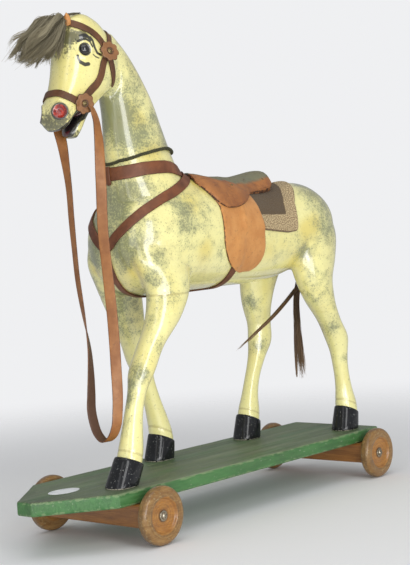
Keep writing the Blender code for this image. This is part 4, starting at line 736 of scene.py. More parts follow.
def neckRings():
    rise = horse["pollHeight"] - horse["withers"]
    path = through([(-0.08 + dx, 0, horse["withers"] + share * rise, depth, width * horse["neckWidth"])
        for dx, share, depth, width in neckRows], 54)
    rings = []
    for row, step in zip(path, np.gradient(path[:, :3], axis=0)):
        normal = Vector(step).normalized().cross(acrossY)
        rings.append(oval(above(row[0], 0, row[2]), acrossY, normal, row[4] / 2, row[3] / 2, 60))
    return rings


def fromPoll(dx, dz):
    return horse["pollX"] + dx * horse["headLength"], horse["pollHeight"] + dz * horse["headLength"]


def betweenRings(rows, count, sides, power=2.0):
    # Rows of front x, front height, back x, back height and width, set out from the poll in head lengths
    rings = []
    for fx, _, fz, bx, bz, width in through([(fx, 0, fz, bx, bz, w) for fx, fz, bx, bz, w in rows], count):
        front, back = (Vector(above(x, 0, z)) for x, z in (fromPoll(fx, fz), fromPoll(bx, bz)))
        reach = (front - back) / 2
        rings.append(oval((front + back) / 2, acrossY, reach.normalized(), width * horse["headWidth"] / 2,
            reach.length, sides, power))
    return rings


def lineX(line, height):
    return float(np.interp(height, [p[0] for p in reversed(line)], [p[1] for p in reversed(line)]))


def legRings(slices, side, line):
    rings = []
    smoothLine = through([(x, 0, z) for z, x in line], 90)
    for _, z, _, fore, wide, out in through([(0, row[0], 0, *row[1:]) for row in slices], 78):
        x = float(np.interp(z, smoothLine[::-1, 2], smoothLine[::-1, 0]))
        rings.append(oval(above(x, side * out, z), alongX, acrossY, fore / 2, wide / 2, 40))
    return rings


def grownTogether(name, meshes, voxel):
    bm = bmesh.new()
    for mesh in meshes:
        bm.from_mesh(mesh)
    host = placed(name, meshFrom(name, bm))
    union = host.modifiers.new("union", "REMESH")
    union.mode = "VOXEL"
    union.voxel_size = voxel
    smooth = host.modifiers.new("smooth", "SMOOTH")
    smooth.factor = 0.5
    smooth.iterations = round(5 * (0.0036 / voxel) ** 2)
    made = evaluatedMesh(host)
    bpy.data.objects.remove(host)
    return made


def keptSide(mesh, height, keepUpper):
    bm = bmesh.new()
    bm.from_mesh(mesh)
    bmesh.ops.bisect_plane(bm, geom=bm.verts[:] + bm.edges[:] + bm.faces[:], dist=0.00001,
        plane_co=(0, 0, height), plane_no=(0, 0, 1 if keepUpper else -1), clear_inner=True)
    bmesh.ops.holes_fill(bm, edges=[e for e in bm.edges if e.is_boundary], sides=0)
    bm.to_mesh(mesh)
    bm.free()
    mesh.shade_smooth()
    return mesh


def gathered(points, blobs, start):
    # Sum of soft blobs on both sides of the middle plane
    total = np.array(start, float)
    for x, out, z, reach, strength in blobs:
        for side in (-1, 1):
            away = distance(points, above(x, side * out, z))
            total += strength * bell(away, reach) * (0.5 if out < 0.01 else 1)
    return total


def painted(mesh, skin):
    # Values that the paint reads: dapples with painted shade, yellow, muzzle with a painted forelock shadow,
    # lines, mouth and nostrils
    points = coordinates(mesh)
    height = points[:, 2] - boardTop
    base = np.interp(height, [0, 0.09, 0.13, 0.2, 0.3, 0.46, 0.5, 0.6],
        [0.04, 0.06, 0.12, 0.1, 0.12, 0.12, 0.12, 0.1])
    base += 0.11 * np.clip((0.02 - points[:, 0]) / 0.05, 0, 1) * np.clip((height - 0.19) / 0.04, 0, 1)
    base += 0.14 * np.clip((points[:, 0] - 0.2) / 0.04, 0, 1) * np.clip((height - 0.1) / 0.1, 0, 1)
    face = np.clip((-0.15 - points[:, 0]) / 0.02, 0, 1) * (height > 0.41)
    setValues(mesh, "dappleAndShade", gathered(points, dapplesAndShade, base * (1 - 0.8 * face)))
    setValues(mesh, "yellow", gathered(points, yellows, 0.12 * face))
    flat = points[:, [0, 2]] - np.array([0, boardTop])
    muzzleAndShade = 0.0
    # Spots of dark muzzle paint; the last one, on the brow under the forelock, is a painted shadow of the
    # forelock
    for spot, scale, reach, strength in (((-0.233, 0.433), (1, 1), 0.0205, 1.0),
            ((-0.1915, 0.5405), (1.5, 0.7), 0.01, 1.0), ((-0.196, 0.42), (1, 1), 0.014, 0.7),
            ((-0.208, 0.54), (1, 2.2), 0.01, 0.9)):
        away = np.linalg.norm((flat - np.array(spot)) / np.array(scale), axis=1)
        muzzleAndShade = muzzleAndShade + strength * bell(away, reach)
    setValues(mesh, "muzzleAndShade", np.clip(muzzleAndShade, 0, 1) * (height > 0.4))
    seam = (np.abs(points[:, 1]) > 0.02) & (height < 0.26) & (points[:, 0] < 0.1)
    groove = np.where(seam, np.abs(height - horse["legSeam"]), 0.01)
    lean = np.array([0.018 / 0.041, 0, 1]) / math.hypot(0.018 / 0.041, 1)
    for _, side, line, _ in legs.values():
        middle = np.array(above(lineX(line, 0.029), side * horse["legOut"], 0.029))
        near = distance(points, middle) < 0.035
        groove = np.where(near, np.minimum(groove, np.abs((points - middle) @ lean - 0.0085)), groove)
    setValues(mesh, "groove", groove)
    lipLine = [fromPoll(bx, bz) for _, _, bx, bz, _ in headRows[7:]]
    jawLine = [fromPoll(fx, fz) for fx, fz, _, _, _ in jawRows[1:]]
    upper, lower = (np.where(height > 0.4, toLine(flat, line), 1.0) for line in (lipLine, jawLine))
    setValues(mesh, "mouth", np.clip(1 - (np.minimum(upper, lower) - 0.0016) / 0.0022, 0, 1))
    setValues(mesh, "lips", np.minimum(np.abs(upper - 0.005) - 0.0032, np.abs(lower - 0.0034) - 0.002))
    outer = paint = np.full(len(points), 0.05)
    for _, side in hands:
        outer = np.minimum(outer, distance(points, skin[("nostril", side)]))
        paint = np.minimum(paint, distance(points, skin[("eye", side)]) - eye["radius"] - 0.0004)
        for half, stroke in eyeStrokes:
            line = [above(x, 0, z) for x, z in stroke]
            apart = toLine(points * np.array([1, 0, 1]), np.array(line) * np.array([1, 0, 1])) - half
            paint = np.minimum(paint, np.where(side * points[:, 1] > 0.012, apart, 0.05))
    setValues(mesh, "nostril", outer)
    setValues(mesh, "eyePaint", paint)


def carveHead(mesh):
    # Eyelids, brow, nostril hollows and a groove round the cheek, pushed into the fine head
    tree = treeOf(mesh)
    points, normals = coordinates(mesh), coordinates(mesh, "normal")
    found, push = {}, np.zeros(len(points))
    for _, side in hands:
        for kind, place in (("eye", eye), ("nostril", nostril)):
            hit = tree.ray_cast(Vector(above(place["x"], side * 0.2, place["height"])),
                Vector((0, -side, 0)))
            found[(kind, side)] = tuple(hit[0])
        spot = found[("eye", side)]
        away = distance(points, spot)
        push += 0.0012 * bell(away, 0.002, 0.0094) - 0.001 * bell(away, 0.006)
        push += 0.0016 * bell(distance(points - np.array(spot), (0.001, 0, 0.015)), 0.0085)
        away = distance(points, found[("nostril", side)])
        push += 0.0014 * bell(away, 0.0021, 0.0098) - 0.0042 / (1 + np.exp((away - 0.0068) / 0.0007))
        cheek = distance(points[:, [0, 2]], (-0.16, boardTop + 0.492))
        behind = (points[:, 0] > -0.165) & (side * points[:, 1] > 0.01)
        push -= np.where(behind, 0.001 * bell(cheek, 0.003, 0.0335), 0)
    moveTo(mesh, points + normals * push[:, None])
    return found


def makeHorse():
    coarse = 1.0
    neck = loft("neck", neckRings())
    head = grownTogether("head", [neck, loft("head", betweenRings(headRows, 60, 56, 2.35)),
        loft("jaw", betweenRings(jawRows, 27, 40))], horse["headVoxel"] * coarse)
    pieces = [loft("trunk", trunkRings()), neck]
    pieces += [loft("leg", legRings(slices, side, line)) for slices, side, line, _ in legs.values()]
    body = grownTogether("body", pieces, horse["bodyVoxel"] * coarse)
    keptSide(head, boardTop + horse["neckSeam"] - 0.002, True)
    keptSide(body, boardTop + horse["neckSeam"], False)
    spots = carveHead(head)
    points = coordinates(body)
    dip = np.exp(-((points[:, 0] + 0.008) / 0.026) ** 2 - (points[:, 1] / 0.03) ** 2)
    points[:, 2] -= 0.0042 * dip * (points[:, 2] > boardTop + 0.3)
    moveTo(body, points)
    for mesh in (head, body):
        painted(mesh, spots)
    depth = 0.0005 * bell(valuesOf(body, "groove"), 0.0011)
    moveTo(body, coordinates(body) - coordinates(body, "normal") * depth[:, None])
    addPiece("carved_body", body, "cream_paint", replaced=["torso"] + ["leg_" + tag for tag in legs])
    addPiece("carved_head", head, "cream_paint", replaced=["neck_and_head"])
    return [treeOf(head), treeOf(body)]


skinTrees = makeHorse()
print("horse is carved")


hoof = {"length": 0.041, "width": 0.034, "front": 0.038, "heel": 0.02, "topLength": 0.036, "topWidth": 0.033}


def makeHooves():
    middle = (hoof["front"] + hoof["heel"]) / 2
    slope = (hoof["front"] - hoof["heel"]) / hoof["length"]
    sole, top = boardTop + 0.0003, boardTop + middle
    for tag, (_, side, line, lean) in legs.items():
        x, rings, edges = lineX(line, middle), [], []
        for share, size in ((0.0, 0.9), (0.0, 0.955), (0.02, 0.985), (0.06, 1.0), (0.2, 1.002),
                (0.35, 1.002), (0.5, 1.001), (0.65, 1.0), (0.8, 1.0), (0.92, 1.0), (0.98, 0.985),
                (1.0, 0.95), (1.0, 0.86)):
            halfX = size * (hoof["length"] + share * (hoof["topLength"] - hoof["length"])) / 2
            halfY = size * (hoof["width"] + share * (hoof["topWidth"] - hoof["width"])) / 2
            centre = (x - lean * (1 - share), side * horse["legOut"], sole + share * (top - sole))
            rings.append(oval(centre, Vector((1, 0, -slope * share)), acrossY, halfX, halfY, 56,
                2.6 - 0.5 * share))
            edges += [1.0 if 0.95 < size < 0.99 and share < 0.5 else 0.35] * 56
        mesh = loft("hoof", rings, sharp=70)
        setValues(mesh, "edge", edges + [0, 0])
        addPiece("hoof_" + tag, mesh, "black_paint", replaced=["hoof_" + tag])


def makeEyes():
    for hand, _ in hands:
        low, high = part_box("glass_eye_" + hand)
        bm = bmesh.new()
        bmesh.ops.create_uvsphere(bm, u_segments=48, v_segments=24, radius=eye["radius"],
            matrix=Matrix.Translation((low + high) / 2) @ Matrix.Rotation(math.pi / 2, 4, "X"))
        mesh = meshFrom("eye", bm)
        mesh.shade_smooth()
        addPiece("eye_" + hand, mesh, "eye_glass", replaced=["glass_eye_" + hand])


makeHooves()
makeEyes()
print("hooves and eyes are on")


# Node trees: strands that follow edges, and small fixings set on points

def makeTree(name, sockets, build):
    tree = bpy.data.node_groups.new(name, "GeometryNodeTree")
    for label, kind in sockets.items():
        tree.interface.new_socket(label, in_out="INPUT", socket_type="NodeSocket" + kind)
    tree.interface.new_socket("Geometry", in_out="OUTPUT", socket_type="NodeSocketGeometry")
    given = addNode(tree, "NodeGroupInput").outputs
    whole = result(tree, "GeometryNodeRealizeInstances", {0: build(tree, given)})
    coloured = result(tree, "GeometryNodeSetMaterial", {"Geometry": whole, "Material": given["Finish"]})
    addNode(tree, "NodeGroupOutput", {0: coloured})
    return tree


def enabled(node):
    return Signal([s for s in node.outputs if s.enabled][0])


def named(tree, name, kind="FLOAT"):
    return enabled(addNode(tree, "GeometryNodeInputNamedAttribute", {"Name": name}, data_type=kind))


def buildStrands(tree, given):
    curve = result(tree, "GeometryNodeMeshToCurve", {"Mesh": given["Geometry"]})
    ring = result(tree, "GeometryNodeCurvePrimitiveCircle", {"Resolution": given["Sides"], "Radius": 1.0})
    mesh = result(tree, "GeometryNodeCurveToMesh", {"Curve": curve, "Profile Curve": ring,
        "Scale": named(tree, "thick"), "Fill Caps": True})
    return result(tree, "GeometryNodeSetShadeSmooth", {"Geometry": mesh})


def buildFixings(tree, given):
    points = result(tree, "GeometryNodeMeshToPoints", {"Mesh": given["Geometry"]})
    facing = named(tree, "facing", "FLOAT_VECTOR")
    turn = result(tree, "FunctionNodeAlignRotationToVector", {"Vector": facing}, axis="Z")
    tool = result(tree, "GeometryNodeObjectInfo", {"Object": given["Fixing"]}, "Geometry")
    spin = enabled(addNode(tree, "FunctionNodeRandomValue", {3: 6.28, "Seed": 4}, data_type="FLOAT"))
    angle = result(tree, "ShaderNodeCombineXYZ", {2: spin})
    euler = result(tree, "FunctionNodeEulerToRotation", {0: angle})
    both = result(tree, "FunctionNodeRotateRotation", {"Rotation": turn, "Rotate By": euler},
        rotation_space="LOCAL")
    return result(tree, "GeometryNodeInstanceOnPoints",
        {"Points": points, "Instance": tool, "Rotation": both})


strandTree = makeTree("strands", {"Geometry": "Geometry", "Sides": "Int",
    "Finish": "Material"}, buildStrands)
fixingTree = makeTree("fixings", {"Geometry": "Geometry", "Fixing": "Object",
    "Finish": "Material"}, buildFixings)


def baked(name, mesh, tree, values):
    host = placed(name, mesh)
    nodesOn = host.modifiers.new("nodes", "NODES")
    nodesOn.node_group = tree
    labels = {item.name: item.identifier for item in tree.interface.items_tree if item.in_out == "INPUT"}
    for label, value in values.items():
        nodesOn[labels[label]] = value
    made = evaluatedMesh(host)
    host.modifiers.remove(nodesOn)
    bpy.data.objects.remove(host)
    return made


def strandMesh(name, lines, slot, sides=5, **values):
    # lines: one array of points for each strand; values: one number for each point
    points = np.concatenate(lines)
    edges, start = [], 0
    for line in lines:
        edges += [(start + i, start + i + 1) for i in range(len(line) - 1)]
        start += len(line)
    mesh = bpy.data.meshes.new(name)
    mesh.from_pydata(points.tolist(), edges, [])
    for key, numbers in values.items():
        setValues(mesh, key, numbers)
    return baked(name, mesh, strandTree, {"Sides": sides, "Finish": finish[slot]})


def fixingMesh(name, places, facings, tool, slot):
    mesh = bpy.data.meshes.new(name)
    mesh.from_pydata([tuple(p) for p in places], [], [])
    setValues(mesh, "facing", [tuple(f) for f in facings], "FLOAT_VECTOR")
    made = baked(name, mesh, fixingTree, {"Fixing": tool, "Finish": finish[slot]})
    made.shade_smooth()
    made.set_sharp_from_angle(angle=math.radians(40))
    return made


def turnedTool(name, profile, sides=24, slot=0.0):
    # A turned fixing along +Z; slot is the depth of a screwdriver slot in its head
    rings = []
    for radius, height in profile:
        rings.append([(radius * math.cos(angle), radius * math.sin(angle), height)
            for angle in turns(sides)])
    made = placed(name, loft(name, rings))
    if slot:
        reach = max(r for r, _ in profile)
        top = max(h for _, h in profile)
        bm = bmesh.new()
        shape = Matrix.Diagonal((reach * 3, reach * 0.26, slot * 2, 1))
        bmesh.ops.create_cube(bm, size=1.0, matrix=Matrix.Translation((0, 0, top)) @ shape)
        cutter = placed("slotCutter", meshFrom("slotCutter", bm))
        cut = made.modifiers.new("slot", "BOOLEAN")
        cut.object = cutter
        cut.solver = "EXACT"
        mesh = evaluatedMesh(made)
        made.modifiers.clear()
        made.data = mesh
        bpy.data.objects.remove(cutter)
    return made


def dropTool(tool):
    bpy.data.objects.remove(tool)


# Leather and cloth laid on the carved horse

bandAcross = [-1, -0.97, -0.88, -0.6, -0.3, 0, 0.3, 0.6, 0.88, 0.97, 1]
bandTop = [0.5, 0.86, 0.98, 1.0, 1.02, 1.03, 1.02, 1.0, 0.98, 0.86, 0.5]
bandEdge = [1, 1, 0.5, 0, 0, 0, 0, 0, 0.5, 1, 1]


def draped(trees, places, normals, closed=False, passes=14):
    # Heights over a grid of places at which a sheet lies on whatever is under it, spanning small dips
    reach, below = 0.01, -0.003
    ground = np.zeros((len(places), len(places[0])))
    for i, (row, ways) in enumerate(zip(places, normals)):
        for j, (place, normal) in enumerate(zip(row, ways)):
            best = below
            for tree in trees:
                hit = tree.ray_cast(place + normal * reach, -normal, reach - below)[0]
                if hit is not None:
                    best = max(best, (hit - place).dot(normal))
            ground[i, j] = best
    height = ground.copy()
    for _ in range(passes):
        if closed:
            soft = (np.roll(height, 1, 0) + np.roll(height, -1, 0) + 2 * height) / 4
        else:
            ends = np.pad(height, ((1, 1), (0, 0)), mode="edge")
            soft = (ends[:-2] + ends[2:] + 2 * height) / 4
        ends = np.pad(soft, ((0, 0), (1, 1)), mode="edge")
        soft = (ends[:, :-2] + ends[:, 2:] + 2 * soft) / 4
        height = np.maximum(ground, soft)
    return height + 0.00035


def layBand(name, trees, places, normals, width, thickness, slot, closed=False, widths=None, **adding):
    rows = len(places)
    grid, ways = [], []
    for i, (place, normal) in enumerate(zip(places, normals)):
        before = places[(i - 1) % rows] if closed or i > 0 else places[0]
        after = places[(i + 1) % rows] if closed or i < rows - 1 else places[-1]
        sideways = (after - before).cross(normal).normalized()
        outward = (normal - sideways * normal.dot(sideways)).normalized()
        half = width / 2 * (1.0 if widths is None else widths[i])
        grid.append([place + sideways * half * s for s in bandAcross])
        ways.append([outward] * len(bandAcross))
    height = draped(trees, grid, ways, closed)
    rings, edges = [], []
    for i in range(rows):
        top = [grid[i][j] + ways[i][j] * (height[i, j] + thickness * bandTop[j])
            for j in range(len(bandAcross))]
        low = [thickness * (0.14 if abs(s) > 0.9 else 0) for s in bandAcross]
        under = [grid[i][j] + ways[i][j] * (height[i, j] + low[j])
            for j in range(len(bandAcross) - 2, 0, -1)]
        rings.append(top + under)
        edges += bandEdge + [0.3] * len(under)
    mesh = loft(name, rings, closed, sharp=60)
    setValues(mesh, "edge", edges + [1] * (len(mesh.vertices) - len(edges)))
    addPiece(name, mesh, slot, **adding)
    return treeOf(mesh)


def stationsOnSkin(path, spacing=0.0022):
    path = np.array(path, float)
    length = np.linalg.norm(np.diff(path, axis=0), axis=1).sum()
    course = through(path, max(5, int(round(length / spacing)) + 1))
    places, normals = [], []
    for point in course:
        near = min((tree.find_nearest(Vector(point)) for tree in skinTrees), key=lambda f: f[3])
        places.append(near[0])
        normals.append(near[1])
    for _ in range(9):
        ends = [normals[0]] + normals + [normals[-1]]
        normals = [(ends[i] + 2 * ends[i + 1] + ends[i + 2]).normalized() for i in range(len(normals))]
    return places, normals


def bothSides(places, normals):
    flip = Vector((1, -1, 1))
    return (places + [Vector(p * flip) for p in reversed(places)][1:],
        normals + [Vector(n * flip) for n in reversed(normals)][1:])


def castTo(trees, start, way):
    hits = [tree.ray_cast(start, way, 0.4) for tree in trees]
    return min((hit for hit in hits if hit[0] is not None), key=lambda hit: hit[3], default=None)


def skinSpot(x, height, side):
    # Place and softened outward direction where the skin is met from one side
    spot = castTo(skinTrees, Vector(above(x, side * 0.2, height)), Vector((0, -side, 0)))[0]
    total = Vector()
    for dx, dy, dz in ((0, 0, 0), (4, 0, 0), (-4, 0, 0), (0, 0, 4), (0, 0, -4), (0, 4, 0), (0, -4, 0)):
        near = min((tree.find_nearest(spot + Vector((dx, dy, dz)) * 0.001) for tree in skinTrees),
            key=lambda f: f[3])
        total += near[1]
    return spot, total.normalized()


def sidePath(points, side):
    return [Vector(above(x, side * y, z)) for x, y, z in points]


# Reins: one strap from bit to bit, hanging in a loop, smooth side and dark flesh side

reins = {
    "width": 0.013, "thickness": 0.0018, "stations": 260,
    "path": [(-0.1895, -0.029, 0.457), (-0.1875, -0.0305, 0.453), (-0.1858, -0.032, 0.4465),
        (-0.1845, -0.0335, 0.438), (-0.1842, -0.0345, 0.426), (-0.184, -0.034, 0.369),
        (-0.186, -0.034, 0.301), (-0.188, -0.039, 0.253), (-0.19, -0.044, 0.1995), (-0.193, -0.0475, 0.149),
        (-0.197, -0.049, 0.091), (-0.199, -0.0475, 0.074), (-0.2, -0.0395, 0.06), (-0.2, -0.028, 0.0545),
        (-0.199, -0.016, 0.0615), (-0.198, -0.008, 0.0765), (-0.198, -0.0055, 0.091), (-0.198, -0.007, 0.11),
        (-0.198, -0.0088, 0.135), (-0.198, -0.009, 0.165), (-0.198, -0.004, 0.2), (-0.198, -0.0005, 0.222),
        (-0.198, 0.0033, 0.251), (-0.198, 0.0052, 0.285), (-0.198, 0.0068, 0.324), (-0.198, 0.0075, 0.36),
        (-0.198, 0.0105, 0.39), (-0.197, 0.016, 0.418), (-0.195, 0.023, 0.434), (-0.192, 0.029, 0.444)],
    "turns": ([0, 0.03, 0.07, 0.14, 0.38, 0.5, 0.57, 0.64, 0.71, 0.82, 0.94, 1.0],
        [22, 8, -18, -42, -42, -12, -6, 24, 62, 74, 100, 165])
}


def makeReins():
    course = through([above(*p) for p in reins["path"]], reins["stations"])[:, :3]
    turns = through([(s, 0, 0, t) for s, t in zip(*reins["turns"])], 200)
    rings, edges, inner = [], [], []
    for i, (point, step) in enumerate(zip(course, np.gradient(course, axis=0))):
        along = Vector(step).normalized()
        turn = math.radians(float(np.interp(i / (len(course) - 1), turns[:, 0], turns[:, 3])))
        flat = Vector((math.cos(turn), math.sin(turn), 0))
        wide = (flat - along * flat.dot(along)).normalized()
        thick = along.cross(wide)
        ring = []
        for s, t in zip(bandAcross, bandTop):
            ring.append(Vector(point) + wide * s * reins["width"] / 2
                + thick * (t - 0.5) * reins["thickness"])
        for s in bandAcross[-2:0:-1]:
            low = -0.34 if abs(s) > 0.9 else -0.5
            ring.append(Vector(point) + wide * s * reins["width"] / 2 + thick * low * reins["thickness"])
        rings.append(ring)
        edges += bandEdge + [0.3] * (len(bandAcross) - 2)
        inner += [0.0] * len(bandAcross) + [1.0] * (len(bandAcross) - 2)
    mesh = loft("reins", rings, sharp=60)
    setValues(mesh, "edge", edges + [1, 1])
    setValues(mesh, "inner", inner + [0, 0])
    made = addPiece("reins_strap", mesh, "tan_leather", replaced=["reins"])
    length = float(np.linalg.norm(np.diff(course, axis=0), axis=1).sum())
    above(*reins["path"][0])
    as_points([tuple(p) for p in course[::6]] + [tuple(course[-1])])
    return length


print("reins hang,", round(makeReins(), 3), "m")


# Bridle

bridle = {"width": 0.0092, "leather": 0.0018, "rosette": 0.0262, "rosetteThick": 0.0025, "lobes": 8}
temple, bit = (-0.1545, 0.5215), (-0.1955, 0.46)


def makeBridle():
    trees = list(skinTrees)

    def strap(name, path, both=False, widths=None):
        places, normals = stationsOnSkin(path)
        if both:
            places, normals = bothSides(places, normals)
        if widths is not None:
            widths = np.interp(np.linspace(0, 1, len(places)), *widths)
        trees.append(layBand(name, trees, places, normals, bridle["width"], bridle["leather"],
            "brown_leather", widths=widths, look="bridle_leather", replaced=[name]))

    for hand, side in hands:
        strap("cheek_strap_" + hand, sidePath([(-0.159, 0.03, 0.516), (-0.1628, 0.03, 0.51),
            (-0.1694, 0.029, 0.491), (-0.1745, 0.028, 0.4835), (-0.1824, 0.026, 0.4768),
            (-0.19, 0.025, 0.469)], side), widths=([0, 1], [1.0, 1.12]))
        strap("throat_end_" + hand, sidePath([(-0.151, 0.03, 0.514), (-0.146, 0.029, 0.499),
            (-0.141, 0.024, 0.48)], side), widths=([0, 0.5, 0.8, 1], [1, 0.96, 0.66, 0.12]))
    strap("browband", sidePath([(-0.159, 0.029, 0.528), (-0.165, 0.028, 0.5365), (-0.1735, 0.026, 0.5435),
        (-0.185, 0.022, 0.5495), (-0.194, 0.014, 0.5545), (-0.1985, 0.0, 0.558)], -1), both=True)
    strap("crown_strap", sidePath([(-0.15, 0.029, 0.5285), (-0.146, 0.024, 0.539), (-0.138, 0.015, 0.549),
        (-0.133, 0.0, 0.555)], -1), both=True)
    strap("noseband", sidePath([(-0.2035, 0.024, 0.4605), (-0.215, 0.018, 0.4668), (-0.22, 0.008, 0.471),
        (-0.222, 0.0, 0.4715)], -1), both=True)
    rivetPlaces, rivetWays = [], []
    for hand, side in hands:
        for tag, (x, height) in (("temple", temple), ("bit", bit)):
            place, normal = skinSpot(x, height, side)
            normal = (normal + Vector((-0.35, 0, 0))).normalized()
            mesh, centre = rosetteMesh(place, normal, trees)
            addPiece("rosette_%s_%s" % (tag, hand), mesh, "tan_leather", look="rosette_leather",
                replaced=["rosette_%s_%s" % (tag, hand)])
            rivetPlaces.append(centre)
            rivetWays.append(normal)
    tool = turnedTool("rivetTool", [(0.0031, -0.0008), (0.0031, 0.0001), (0.003, 0.0005), (0.0026, 0.0008),
        (0.0022, 0.0009), (0.0019, 0.0011), (0.0013, 0.0016), (0.0006, 0.00185)])
    addPiece("bridle_rivets", fixingMesh("rivets", rivetPlaces, rivetWays, tool, "old_brass"), "steel",
        look="old_brass")
    dropTool(tool)


def rosetteMesh(place, normal, trees):
    # Scalloped disc whose lobes bend down a little onto what lies under them, with a pressed ring
    reach, thick, steps = bridle["rosette"] / 2, bridle["rosetteThick"], 12 * bridle["lobes"]
    turn = up.rotation_difference(normal)
    shares = [0, 0.28, 0.36, 0.44, 0.55, 0.7, 0.85, 0.95, 1.0]
    shape = [0.92, 0.92, 1.16, 0.98, 0.96, 1.0, 1.0, 0.9, 0.55]
    flats = []
    for share in shares[1:]:
        row = []
        for angle in turns(steps):
            wave = 1 - 0.15 * (abs(math.cos(bridle["lobes"] * angle / 2)) ** 3) * share ** 3
            row.append(place + turn @ Vector((math.cos(angle), math.sin(angle), 0)) * reach * share * wave)
        flats.append(row)
    height = draped(trees, flats, [[normal] * steps for _ in flats], passes=0)
    lifted = np.maximum(height, float(np.percentile(height[:6], 97)) - 0.0004)
    for _ in range(6):
        lifted = np.maximum(height, (np.roll(lifted, 1, 1) + np.roll(lifted, -1, 1) + 2 * lifted) / 4)
    rings, edges = [], []
    for row, high, t in zip(flats, lifted, shape[1:]):
        rings.append([p + normal * (h + thick * t) for p, h in zip(row, high)])
        edges += [1.0 if t < 0.95 or t > 1.1 else 0.0] * steps
    rings.append([p + (place - p) * 0.015 + normal * (h + thick * 0.1)
        for p, h in zip(flats[-1], lifted[-1])])
    rings.append([p + normal * h for p, h in zip(flats[3], lifted[3])])
    edges += [1.0] * steps + [0.3] * steps
    mesh = loft("rosette", rings, sharp=60)
    setValues(mesh, "edge", edges + [0, 0])
    return mesh, place + normal * (float(lifted[0].max()) + thick * 0.92)


ear = {"length": 0.015, "width": 0.0115, "rows": 22, "columns": 15}


def makeEars():
    for hand, side in hands:
        root = Vector((-0.202, side * 0.013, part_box("ear_" + hand)[0].z + 0.001))
        lean = Vector((-0.35, side * 0.22, 1)).normalized()
        across = Vector((-0.45, side * -0.9, -0.1)).normalized()
        out = across.cross(lean).normalized()
        rings, edges = [], []
        for i in range(ear["rows"]):
            share = i / (ear["rows"] - 1)
            half = ear["width"] / 2 * (0.62 + 0.9 * share - 1.49 * share ** 2.4)
            curl = out * 0.0022 * share * share
            front, back = [], []
            for j in range(ear["columns"]):
                s = 2 * j / (ear["columns"] - 1) - 1
                arch = out * 0.003 * s * s * (1 - 0.4 * share)
                spot = root + lean * ear["length"] * share + across * s * half + arch + curl
                thin = 0.0006 * (1 - 0.7 * abs(s) ** 6)
                front.append(spot - out * thin)
                back.append(spot + out * thin)
            rings.append(front + back[::-1])
            rim = [1.0 if j in (0, ear["columns"] - 1) or share > 0.97 else 0.25
                for j in range(ear["columns"])]
            edges += rim + rim[::-1]
        mesh = loft("ear", rings, sharp=70)
        setValues(mesh, "edge", edges + [0.5, 1])
        addPiece("ear_leaf_" + hand, mesh, "suede", replaced=["ear_" + hand])


makeBridle()
makeEars()
print("bridle is on")


# Straps round the body

straps = {
    "leather": 0.0018, "collarWidth": 0.017, "breastWidth": 0.0132, "martingaleWidth": 0.01,
    "girthWidth": 0.0125, "girthX": 0.031, "cord": 0.0042,
    "cordHeights": ([-1, -0.937, -0.49, 0, 0.329, 0.6, 0.756, 0.868, 0.95, 1],
        [0.389, 0.392, 0.3984, 0.4022, 0.4045, 0.4064, 0.4066, 0.405, 0.4025, 0.401]),
    "collar": ([-1, -0.845, -0.45, 0, 0.4, 0.62, 0.786, 0.93, 1],
        [0.3765, 0.3779, 0.3808, 0.3821, 0.3827, 0.3816, 0.3788, 0.3756, 0.3745]),
    "breast": [(-0.001, 0.016, 0.374), (-0.014, 0.0195, 0.373), (-0.04, 0.038, 0.364),
        (-0.066, 0.047, 0.3535), (-0.086, 0.0487, 0.345), (-0.1185, 0.0439, 0.329), (-0.1392, 0.0296, 0.31),
        (-0.1485, 0.0157, 0.2966), (-0.1495, 0.007, 0.2885), (-0.1495, 0.0, 0.285)],
    "martingale": [(-0.149, 0, 0.2765), (-0.141, 0, 0.26), (-0.134, 0, 0.245), (-0.123, 0, 0.233),
        (-0.11, 0, 0.226), (-0.08, 0, 0.222), (-0.03, 0, 0.222), (0.0236, 0, 0.223)]
}


def roundTheBody(centre, start, end, count, trees):
    places, normals = [], []
    for angle in np.radians(np.linspace(start, end, count)):
        out = up * math.cos(angle) - acrossY * math.sin(angle)
        places.append(castTo(trees, Vector(centre) + out * 0.2, -out)[0])
        normals.append(out)
    return places, normals


def roundTheNeck(heights, count, trees):
    # Places on the neck's foot at heights that go by the cosine of the way round, from throat to crest
    places, normals = [], []
    for angle in turns(count):
        out = Vector((math.cos(angle), math.sin(angle), 0))
        hit = castTo(trees, Vector(above(-0.092, 0, float(np.interp(out.x, *heights)))) + out * 0.2, -out)
        places.append(hit[0])
        normals.append(hit[1])
    for _ in range(30):
        normals = [(normals[i - 1] + 2 * normals[i] + normals[(i + 1) % count]).normalized()
            for i in range(count)]
    return places, normals


def makeCollar(trees):
    places, normals = roundTheNeck(straps["collar"], 200, trees)
    trees.append(layBand("collar_strap", trees, places, normals, straps["collarWidth"], straps["leather"],
        "brown_leather", closed=True, replaced=["collar_strap"]))
    # The strap's free end folds over at the throat and hangs
    tab = sidePath([(-0.135, -0.003, 0.386), (-0.138, -0.003, 0.379), (-0.1385, -0.0025, 0.372),
        (-0.137, -0.001, 0.363)], -1)
    places, normals = stationsOnSkin(tab, 0.0012)
    layBand("collar_end", trees, places, normals, 0.0105, straps["leather"], "brown_leather",
        widths=np.interp(np.linspace(0, 1, len(places)), [0, 0.7, 0.92, 1], [1, 1, 0.8, 0.45]))


